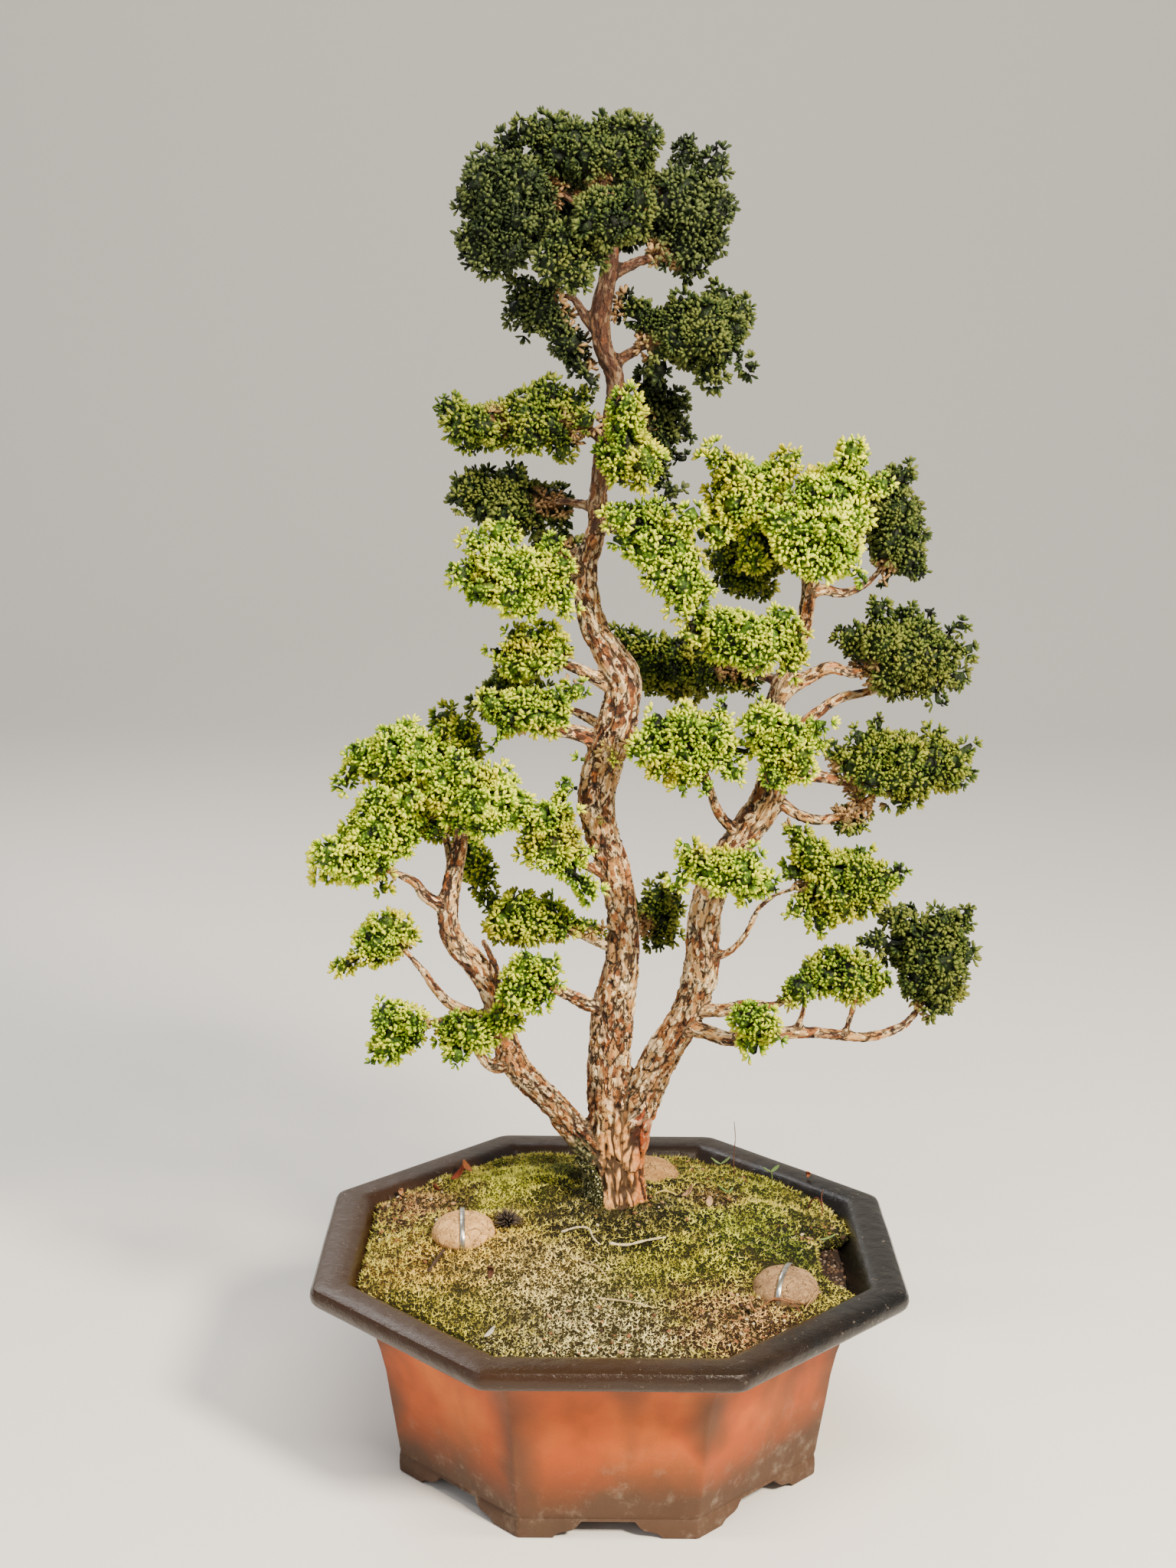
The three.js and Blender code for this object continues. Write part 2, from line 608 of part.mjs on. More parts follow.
// A square of plastic mesh over a drainage hole
function screen(x) {
  const middle = floorTop + gap + screenThickness / 2;
  let plate = box(screenSide, screenSide, screenThickness, x, 0, middle);
  for (let i = -1.5; i <= 1.5; i += 1) {
    for (let j = -1.5; j <= 1.5; j += 1) {
      const opening = box(meshOpening, meshOpening, 4, x + i * meshPitch, j * meshPitch, middle);
      plate = plate.subtract(opening);
    }
  }
  return plate;
}

function screenClip(x, grow = 0) {
  const leg = meshPitch / 2;
  const y = meshPitch / 2;
  const top = floorTop + gap + screenThickness + gap + wireRadius;
  const under = footHeight - gap - wireRadius;
  const half = [[leg + 14, under], [leg + 2, under], [leg, under + 2], [leg, top - 2], [leg - 2, top]];
  const left = half.map(([across, height]) => [x - across, y, height, wireRadius]);
  const right = half.map(([across, height]) => [x + across, y, height, wireRadius]).reverse();
  return limb([...left, ...right], 6, 1, grow);
}

// One wire under the floor, up through both small holes and over the roots
function tieWire(grow = 0) {
  const under = footHeight - gap - wireRadius;
  const line = [
    [2, 5, 128, wireRadius],
    [-6, 5, 127, wireRadius],
    [-17, 4, 122, wireRadius],
    [-27, 2, 110, wireRadius],
    [-tieHoleX, 0, 92, wireRadius],
    [-tieHoleX, 0, 60, wireRadius],
    [-tieHoleX, 0, floorTop, wireRadius],
    [-tieHoleX, 0, under + 3, wireRadius],
    [-tieHoleX + 3, 0, under, wireRadius],
    [-tieHoleX + 9, 0, under, wireRadius],
    [tieHoleX - 9, 0, under, wireRadius],
    [tieHoleX - 3, 0, under, wireRadius],
    [tieHoleX, 0, under + 3, wireRadius],
    [tieHoleX, 0, floorTop, wireRadius],
    [tieHoleX, 0, 60, wireRadius],
    [tieHoleX, 0, 92, wireRadius],
    [28, 2, 110, wireRadius],
    [21, 4, 122, wireRadius],
    [14, 5, 127, wireRadius],
    [8, 5, 128, wireRadius],
  ];
  return limb(line, 6, 1, grow);
}

// Assembly

const woodClearance = treeWood(woodGap);
const cakeClearance = joined(Object.values(cakes).map((place) => cake(place, gap)));
const pinClearance = joined(Object.values(pins).map((place) => pin(place, gap)));
const clips = { left: -drainHoleX, right: drainHoleX };
const clipClearance = joined(Object.values(clips).map((x) => screenClip(x, gap)));
const tieClearance = tieWire(gap);

addPiece('pot', pot(), clay);

for (const [side, x] of Object.entries(clips)) {
  addPiece(`drain_screen_${side}`, screen(x), plasticMesh);
  addPiece(`screen_clip_${side}`, screenClip(x), wire);
}

let drainage = cavityFill(floorTop + gap, layerTop);
for (const x of Object.values(clips)) {
  const side = screenSide + 2 * gap;
  drainage = drainage.subtract(box(side, side, 2 * (screenThickness + gap), x, 0, floorTop + gap));
}
addPiece('drainage_layer', drainage.subtract(clipClearance).subtract(tieClearance), grit);

const soil = cavityFill(layerTop + gap, soilEdge + soilRise + 1).intersect(block(soilSurface))
  .subtract(woodClearance)
  .subtract(tieClearance)
  .subtract(pinClearance);
addPiece('soil', largestBody(soil), earth);
addPiece('tie_wire', tieWire(), wire);

addPiece('tree_wood', treeWood(), bark);

const [tuftX, tuftY, tuftRadius] = tuft;
const tuftLevel = mossSurface(tuftX, tuftY) + 3;
const tuftShape = (grow) => foliageLobe([tuftX, tuftY, tuftLevel, tuftRadius, tuftRadius, tuftRadius], 3, grow);
const moss = cavityFill(soilEdge - 9, potHeight, potHeight + 44).intersect(block(mossSurface))
  .subtract(block(soilSurface, gap))
  .subtract(woodClearance)
  .subtract(cakeClearance)
  .subtract(pinClearance)
  .subtract(tuftShape(gap))
  .subtract(ellipsoid(mossHollow));
addPiece('moss_carpet', largestBody(moss), mossGreen);

const sleeve = treeWood(sleeveThickness).intersect(ellipsoid(sleeveReach))
  .subtract(woodClearance)
  .subtract(block(mossSurface, gap));
addPiece('moss_sleeve', largestBody(sleeve), sleeveGreen);

for (const [side, place] of Object.entries(cakes)) {
  addPiece(`fertiliser_cake_${side}`, cake(place), cakeBrown);
}
for (const [side, place] of Object.entries(pins)) {
  addPiece(`cake_pin_${side}`, pin(place), wire);
}
addPiece('dark_tuft', tuftShape(0), darkMoss);

// Each pad gives way to the wood that carries it and to the pads before it
const placed = [];
Object.entries(pads).forEach(([name, lobes], i) => {
  let pad = foliagePad(lobes, i * seedStep);
  for (const earlier of placed) pad = pad.subtract(earlier);
  addPiece(`foliage_${name}`, largestBody(pad.subtract(woodClearance)), leaf);
  placed.push(foliagePad(lobes, i * seedStep, padGap));
});

const outline = new THREE.Box3().setFromObject(group);
const middle = outline.getCenter(new THREE.Vector3());
for (const mesh of group.children) mesh.geometry.translate(-middle.x, -middle.y, 0);

export default group;
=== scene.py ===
import json
import math
import random
from functools import partial

import bmesh
import bpy
from mathutils import Matrix, Vector, noise
from mathutils.bvhtree import BVHTree

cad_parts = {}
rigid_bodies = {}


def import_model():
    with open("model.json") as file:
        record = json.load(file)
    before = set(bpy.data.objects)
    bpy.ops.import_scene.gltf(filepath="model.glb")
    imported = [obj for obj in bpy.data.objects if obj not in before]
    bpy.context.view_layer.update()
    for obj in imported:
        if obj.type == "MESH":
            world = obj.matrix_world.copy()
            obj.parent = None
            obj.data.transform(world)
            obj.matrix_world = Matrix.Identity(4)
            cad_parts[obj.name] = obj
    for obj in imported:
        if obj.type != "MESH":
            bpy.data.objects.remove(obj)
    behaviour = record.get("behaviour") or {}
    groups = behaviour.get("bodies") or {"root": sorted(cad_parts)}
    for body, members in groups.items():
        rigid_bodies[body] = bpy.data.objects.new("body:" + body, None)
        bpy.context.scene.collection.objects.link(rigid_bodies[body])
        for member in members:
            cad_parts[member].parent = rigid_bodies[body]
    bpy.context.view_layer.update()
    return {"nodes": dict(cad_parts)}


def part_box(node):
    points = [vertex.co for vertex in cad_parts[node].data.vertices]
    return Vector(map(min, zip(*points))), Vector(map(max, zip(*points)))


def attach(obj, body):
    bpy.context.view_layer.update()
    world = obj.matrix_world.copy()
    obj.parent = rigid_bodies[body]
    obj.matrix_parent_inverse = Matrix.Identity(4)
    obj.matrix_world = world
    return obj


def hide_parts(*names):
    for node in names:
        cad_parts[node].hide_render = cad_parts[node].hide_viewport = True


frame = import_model()
nodes = frame["nodes"]
potLow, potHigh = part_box("pot")
potX = (potLow.x + potHigh.x) / 2  # the pot stands a little left of the whole outline's middle
mm = 0.001
print("frame loaded,", len(nodes), "nodes")


def linear(hexCode):  # sRGB hex to a linear colour
    parts = [int(hexCode[i:i + 2], 16) / 255 for i in (1, 3, 5)]
    return [p / 12.92 if p <= 0.04045 else ((p + 0.055) / 1.055) ** 2.4 for p in parts] + [1.0]


# Where each kind of node keeps its main choice
choices = {
    "Math": "operation", "VectorMath": "operation", "BooleanMath": "operation", "Compare": "operation",
    "MapRange": "interpolation_type", "TexVoronoi": "feature", "RandomValue": "data_type", "InputNamedAttribute": "data_type",
    "StoreNamedAttribute": "data_type", "SampleNearestSurface": "data_type",
}


def addNode(tree, kind, inputs=(), choice=None, out=0, size=None, stops=(), **settings):
    # Adds one node, sets and links it, and gives one of its outputs, or all of them. Each tree's own put calls this.
    if size:  # a pattern's cells have this size in mm
        sides = size if isinstance(size, tuple) else (size, size, size)
        place = addNode(tree, "VectorMath", [inputs["Vector"], [1000 / side for side in sides]], "MULTIPLY")
        inputs = {"Scale": 1.0, **inputs, "Vector": place}
    families = ("GeometryNode", "FunctionNode", "ShaderNode") if tree.type == "GEOMETRY" else ("ShaderNode",)
    node = tree.nodes.new(next(family for family in families if hasattr(bpy.types, family + kind)) + kind)
    if kind == "Mix":
        node.data_type = "RGBA"  # every mix here is of two colours
    elif choice:
        setattr(node, choices[kind], choice)
    for name, value in settings.items():
        setattr(node, name, value)
    if stops:  # colours along a ramp
        marks = node.color_ramp.elements
        marks[0].position, marks[1].position = stops[0][0], stops[-1][0]
        for place, colour in stops[1:-1]:
            marks.new(place)
        for mark, (place, colour) in zip(marks, stops):
            mark.color = linear(colour)
    sockets = [socket for socket in node.inputs if socket.enabled]
    for key, value in inputs.items() if isinstance(inputs, dict) else enumerate(inputs):
        socket = sockets[key] if isinstance(key, int) else next(s for s in sockets if s.name == key)
        if isinstance(value, bpy.types.NodeSocket) or socket.is_multi_input:
            for part in value if socket.is_multi_input else [value]:
                tree.links.new(part, socket)
        elif isinstance(value, str) and socket.type == "RGBA":
            socket.default_value = linear(value)
        elif value is not None:
            socket.default_value = value
    outputs = {socket.name: socket for socket in node.outputs if socket.enabled}
    return outputs if out is None else list(outputs.values())[out] if isinstance(out, int) else outputs[out]


def newMaterial(name, **surface):  # Principled surface, its constants set on its own sockets
    material = bpy.data.materials.new(name)
    material.use_nodes = True
    shader = material.node_tree.nodes["Principled BSDF"]
    for key, value in surface.items():
        socket = shader.inputs[key.replace("_", " ")]
        socket.default_value = linear(value) if isinstance(value, str) else value
    return material, partial(addNode, material.node_tree), shader


def wire(put, shader, colour, roughness=None, height=None, depth=0.0):  # links a material's patterns to its surface
    relief = put("Bump", {"Height": height, "Distance": depth, "Strength": 1.0}) if height else None
    for name, pattern in (("Base Color", colour), ("Roughness", roughness), ("Normal", relief)):
        if pattern:
            shader.id_data.links.new(pattern, shader.inputs[name])


def groupTree(name, **inputs):  # a Geometry Nodes tree with named inputs; gives its put and its two ends
    kinds = {
        "Geometry": "NodeSocketGeometry", float: "NodeSocketFloat", int: "NodeSocketInt",
        "Material": "NodeSocketMaterial", "Object": "NodeSocketObject", "Collection": "NodeSocketCollection",
    }
    tree = bpy.data.node_groups.new(name, "GeometryNodeTree")
    tree.interface.new_socket("Geometry", in_out="INPUT", socket_type=kinds["Geometry"])
    for title, start in inputs.items():
        kind = start if isinstance(start, str) else type(start)
        socket = tree.interface.new_socket(title.replace("_", " "), in_out="INPUT", socket_type=kinds[kind])
        if not isinstance(start, str):
            socket.default_value = start
    tree.interface.new_socket("Geometry", in_out="OUTPUT", socket_type=kinds["Geometry"])
    source = tree.nodes.new("NodeGroupInput").outputs
    sink = tree.nodes.new("NodeGroupOutput").inputs[0]
    return partial(addNode, tree), source, sink


def useTree(piece, tree, **values):  # puts the tree on a piece as a modifier and sets its inputs by their identifiers
    modifier = piece.modifiers.new(tree.name, "NODES")
    modifier.node_group = tree
    for item in tree.interface.items_tree:
        key = item.name.replace(" ", "_")
        if item.in_out == "INPUT" and key in values:
            modifier[item.identifier] = values[key]
    return modifier


def closeTree(put, sink, geometry, material):  # makes the geometry real, gives it its material and ends the tree
    real = put("RealizeInstances", [geometry])
    sink.id_data.links.new(put("SetMaterial", {"Geometry": real, "Material": material}), sink)
    return sink.id_data


def scattered(put, source, mesh, crowd, chosen=True):  # points spread over a mesh, no two closer than the spacing
    density = put("Math", [crowd, put("Math", [source["Spacing"], 2.0], "POWER")], "DIVIDE")
    return put("DistributePointsOnFaces", {
        "Mesh": mesh, "Selection": chosen, "Distance Min": source["Spacing"], "Density Max": density, "Seed": source["Seed"],
    }, out=None, distribute_method="POISSON")


def planted(put, source, points, rotation):  # one of the kinds on each point, turned and of random size
    size = put("RandomValue", {"Min": source["Small"], "Max": source["Large"], "Seed": source["Seed"]})
    kinds = put("CollectionInfo", {"Collection": source["Kinds"], "Separate Children": True, "Reset Children": True})
    return put("InstanceOnPoints", {
        "Points": points, "Instance": kinds, "Pick Instance": True, "Rotation": rotation, "Scale": size,
    })


def kindsOf(name, meshes):  # a collection of the shapes that a tree picks from
    kinds = bpy.data.collections.new(name)
    for i, mesh in enumerate(meshes):
        kinds.objects.link(bpy.data.objects.new(name + str(i), mesh))
    return kinds


def dropKinds(kinds):
    for item in list(kinds.objects):
        bpy.data.objects.remove(item)
    bpy.data.collections.remove(kinds)


def newPiece(name, mesh):
    piece = bpy.data.objects.new(name, mesh)
    bpy.context.scene.collection.objects.link(piece)
    return piece


def applied(piece):  # the piece with its modifiers made plain mesh
    bpy.context.view_layer.update()
    graph = bpy.context.evaluated_depsgraph_get()
    mesh = bpy.data.meshes.new_from_object(piece.evaluated_get(graph))
    piece.modifiers.clear()
    old = piece.data
    piece.data = mesh
    if old.users == 0:
        bpy.data.meshes.remove(old)
    return piece


def toMesh(name, work):  # ends a bmesh and gives its mesh
    mesh = bpy.data.meshes.new(name)
    work.to_mesh(mesh)
    work.free()
    return mesh


def meshCopy(nodeName, pieceName):  # a CAD node's copy with its loose triangles joined
    work = bmesh.new()
    work.from_mesh(nodes[nodeName].data)
    bmesh.ops.remove_doubles(work, verts=work.verts, dist=0.02 * mm)
    return newPiece(pieceName, toMesh(pieceName, work))


def fromFaces(name, places, faces, tips=()):  # tips say how near each vertex is to the end of its leaf or spike
    mesh = bpy.data.meshes.new(name)
    mesh.from_pydata([tuple(p) for p in places], [], faces)
    mesh.validate()
    if tips:
        mesh.attributes.new("tip", "FLOAT", "POINT").data.foreach_set("value", tips)
    return mesh


def ringFaces(rings, count, first=0):  # faces between rings of points that follow each other
    return [
        (first + a + i, first + a + (i + 1) % count, first + a + count + (i + 1) % count, first + a + count + i)
        for a in range(0, (rings - 1) * count, count) for i in range(count)
    ]


def heading(tilt, turn):  # a direction tilted from upright, with two sides square to it
    direction = Vector((math.sin(tilt) * math.cos(turn), math.sin(tilt) * math.sin(turn), math.cos(tilt)))
    side = direction.orthogonal().normalized()
    return direction, side, direction.cross(side)


def outward(mesh):  # joins doubles and turns every face outwards
    work = bmesh.new()
    work.from_mesh(mesh)
    bmesh.ops.remove_doubles(work, verts=work.verts, dist=0.01 * mm)
    bmesh.ops.recalc_face_normals(work, faces=work.faces)
    work.to_mesh(mesh)
    work.free()
    return mesh


def welded(piece, voxel):  # makes one skin of everything that overlaps
    weld = piece.modifiers.new("weld", "REMESH")
    weld.mode = "VOXEL"
    weld.voxel_size = voxel * mm
    return piece


def finish(piece, slot, *replaced):
    piece.data.polygons.foreach_set("use_smooth", [True] * len(piece.data.polygons))
    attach(piece, "root")
    if replaced:
        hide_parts(*replaced)
    return piece


def triangles(piece):
    return sum(len(face.vertices) - 2 for face in piece.data.polygons)


# The camera stands where the photographer stood: mm from the pot's centre, and degrees
view = {"place": (-17, -1445, 788), "down": 12.34, "roll": 0.47, "lens": 50.75}

camera = bpy.data.objects.new("camera", bpy.data.cameras.new("camera"))
camera.data.sensor_width = 36
camera.data.lens = view["lens"]
camera.data.clip_end = 50
x, y, z = (v * mm for v in view["place"])
turn = Matrix.Rotation(math.radians(90 - view["down"]), 4, "X") @ Matrix.Rotation(math.radians(view["roll"]), 4, "Z")
camera.matrix_world = Matrix.Translation((x + potX, y, z)) @ turn
bpy.context.scene.collection.objects.link(camera)
bpy.context.scene.camera = camera

studio = {
    "sky": 0.52, "skyColour": "#F1F3F5", "key": 150, "fill": 8, "back": 22, "strip": 34, "paper": "#ECE8E1",
    "paperWidth": 9.0, "paperFront": -4.0, "paperBend": 2.6, "paperRadius": 1.9, "paperTop": 4.5,  # metres
}

world = bpy.data.worlds.new("studio")
bpy.context.scene.world = world
world.use_nodes = True
world.node_tree.nodes["Background"].inputs["Color"].default_value = linear(studio["skyColour"])
world.node_tree.nodes["Background"].inputs["Strength"].default_value = studio["sky"]


def areaLight(name, place, size, power, colour, height=0):
    lamp = bpy.data.lights.new(name, "AREA")
    lamp.shape = "RECTANGLE" if height else "DISK"
    lamp.size = size
    lamp.size_y = height or size
    lamp.energy = power
    lamp.color = linear(colour)[:3]
    item = bpy.data.objects.new(name, lamp)
    item.location = place
    item.rotation_euler = (Vector((0, 0, 0.4)) - Vector(place)).to_track_quat("-Z", "Y").to_euler()
    bpy.context.scene.collection.objects.link(item)


areaLight("key", (1.15, -1.55, 1.75), 0.45, studio["key"], "#FFF2DC")
areaLight("fill", (-1.8, -1.2, 0.9), 1.4, studio["fill"], "#E8F0FF")
areaLight("back", (-0.8, 1.5, 1.8), 1.0, studio["back"], "#FFFFFF")
areaLight("strip", (0.0, -1.0, 2.0), 1.3, studio["strip"], "#FFF8EC", 0.12)  # draws the highlight along the rim's front


def paperSweep():  # a floor that bends up behind the object without a line
    profile = [(studio["paperFront"], 0)]
    steps, radius = 24, studio["paperRadius"]
    for i in range(steps + 1):
        angle = math.pi / 2 * i / steps
        profile.append((studio["paperBend"] + radius * math.sin(angle), radius * (1 - math.cos(angle))))
    profile.append((profile[-1][0], studio["paperTop"]))
    half = studio["paperWidth"] / 2
    under = 0.5 * mm  # the paper lies this far under the feet
    places = [(side * half, across, up - under) for across, up in profile for side in (-1, 1)]
    faces = [(2 * i, 2 * i + 1, 2 * i + 3, 2 * i + 2) for i in range(len(profile) - 1)]
    paper = newPiece("paper_sweep", fromFaces("paper_sweep", places, faces))
    matt = newMaterial("matt paper", Roughness=0.95, Base_Color=studio["paper"], Specular_IOR_Level=0.2)[0]
    paper.data.materials.append(matt)
    paper.data.polygons.foreach_set("use_smooth", [True] * len(faces))


paperSweep()
print("camera, light and floor made")


pot = {  # mm
    "base": 142, "footBand": 14, "footGap": 72, "recess": 11.6, "sideSteps": 12,
    "cornerRadius": 4, "rimCorner": 13, "roundFrom": 168, "roundTo": 190,  # the corners get rounder towards the rim
    "drainX": 64, "drainRadius": 14, "tieX": 30, "tieRadius": 4,
    "sway": 0.5, "swayLength": 60, "ripple": 0.18, "rippleLength": 17,  # how far the walls stray from true
}

# Half width across flats and height in mm, up the outside wall and then down the inside
potOuter = [
    (142.4, 0), (142.8, 1), (143, 6), (142.8, 11), (142.0, 12.2), (141.6, 13.2), (142.2, 14.4), (143, 18), (145.6, 36),
    (148.4, 56), (151, 76), (154.4, 92), (158.4, 105), (163.5, 115), (171, 124), (180, 130), (189, 131.2), (193.5, 131.4),
    (197.2, 132.6), (199.3, 135.2), (200, 138.5), (199.6, 141.8), (197.8, 144.6), (194.4, 146),
]
potInner = [
    (188, 146.2), (181, 146), (177, 145.4), (174.8, 144), (172.4, 141), (168, 134), (163, 127), (155, 115), (148, 104),
    (143, 86), (139, 70), (134, 48), (130, 30), (126, 24),
]


def potOutline(flat, height):  # an octagon's ring with rounded corners, flats facing the four sides
    nearRim = min(max((flat - pot["roundFrom"]) / (pot["roundTo"] - pot["roundFrom"]), 0), 1)
    rounding = pot["cornerRadius"] + (pot["rimCorner"] - pot["cornerRadius"]) * nearRim
    ring = []
    for side in range(8):
        middle = side * math.pi / 4
        half = flat * math.tan(math.pi / 8) - rounding * math.tan(math.pi / 8)
        across = Vector((math.cos(middle), math.sin(middle)))
        along = Vector((-across.y, across.x))
        for i in range(pot["sideSteps"] + 1):
            place = across * flat + along * half * (2 * i / pot["sideSteps"] - 1)
            ring.append((place.x, place.y, height))
        corner = across * (flat - rounding) + along * half
        for i in (1, 2, 3):
            angle = middle + math.pi / 4 * i / 4
            ring.append((corner.x + rounding * math.cos(angle), corner.y + rounding * math.sin(angle), height))
    return ring


def makePot():
    profile = potOuter + potInner
    places = []
    for flat, height in profile:
        for px, py, pz in potOutline(flat, height):
            spot = Vector((px, py, pz))
            swell = pot["sway"] * noise.noise(spot / pot["swayLength"])
            swell += pot["ripple"] * noise.noise(spot / pot["rippleLength"])
            share = 1 + swell / math.hypot(px, py) if 14 < pz < 145 else 1  # the foot and the rim's crown stay true
            places.append((px * share * mm + potX, py * share * mm, pz * mm))
    count = len(places) // len(profile)
    faces = ringFaces(len(profile), count) + [tuple(range(count))[::-1], tuple(range(len(places) - count, len(places)))]
    return newPiece("pot_body", outward(fromFaces("pot_body", places, faces)))


def footCutter():  # one long bracket-shaped opening across the pot for each pair of opposite sides
    half, reach = pot["footGap"] / 2, 200
    outline = [(-half, -2), (-half, 0), (-half + 1.4, 2), (-half + 4, 3.6), (-half + 8, 4.6), (-half + 12, 5.4),
               (-half + 15, 7.4), (-half + 17, 10), (-half + 18.5, pot["recess"])]
    outline += [(-a, b) for a, b in reversed(outline)]
    work = bmesh.new()
    for side in range(4):
        turned = Matrix.Translation((potX, 0, 0)) @ Matrix.Rotation(side * math.pi / 4, 4, "Z")
        ends = []
        for y in (-reach, reach):
            ends.append([work.verts.new(turned @ Vector((a * mm, y * mm, b * mm))) for a, b in outline])
        count = len(outline)
        for i in range(count):
            work.faces.new((ends[0][i], ends[0][(i + 1) % count], ends[1][(i + 1) % count], ends[1][i]))
        work.faces.new(ends[0])
        work.faces.new(ends[1])
    bmesh.ops.recalc_face_normals(work, faces=work.faces)
    return newPiece("foot_cutter", toMesh("foot_cutter", work))


def prism(name, flat, low, high, x=0, y=0, sides=8):  # an upright bar with flat sides, for cutting
    work = bmesh.new()
    radius = flat / math.cos(math.pi / sides) * mm
    bmesh.ops.create_cone(work, cap_ends=True, segments=sides, radius1=radius, radius2=radius, depth=(high - low) * mm)
    bmesh.ops.rotate(work, verts=work.verts, matrix=Matrix.Rotation(math.pi / sides, 3, "Z"))
    bmesh.ops.translate(work, verts=work.verts, vec=(potX + x * mm, y * mm, (low + high) / 2 * mm))
    return newPiece(name, toMesh(name, work))


def cut(piece, cutters):
    for cutter in cutters:
        modifier = piece.modifiers.new("cut", "BOOLEAN")
        modifier.operation = "DIFFERENCE"
        modifier.solver = "EXACT"
        modifier.use_self = cutter.name.startswith("foot")
        modifier.object = cutter
    applied(piece)
    for cutter in cutters:
        bpy.data.objects.remove(cutter)
    return piece


# Unglazed stoneware clay, moulded: matt, fine-grained and fired unevenly, grey-brown at the corners, in streaks and
# towards
# the foot: partly fire smoke, partly painted shade spread wide over the left and raised on the right. The rim wears a
# thin iron slip, dark and half glossy, that has run a little.
clayLook = {
    "clay": "#A84810", "clayPale": "#BC5C18", "clayDeep": "#743A14", "smoke": "#33271B", "ash": "#4C3B2B",
    "slipBrown": "#2E1C0E", "slip": "#2B1D13", "slipBlack": "#0E0C0B", "scratch": "#8D8072", "salt": "#B3A28C",
    "grain": 1.1, "cloud": 60, "slipEdge": 130.5, "slipGloss": 0.2, "clayGloss": 0.6,  # sizes in mm
}


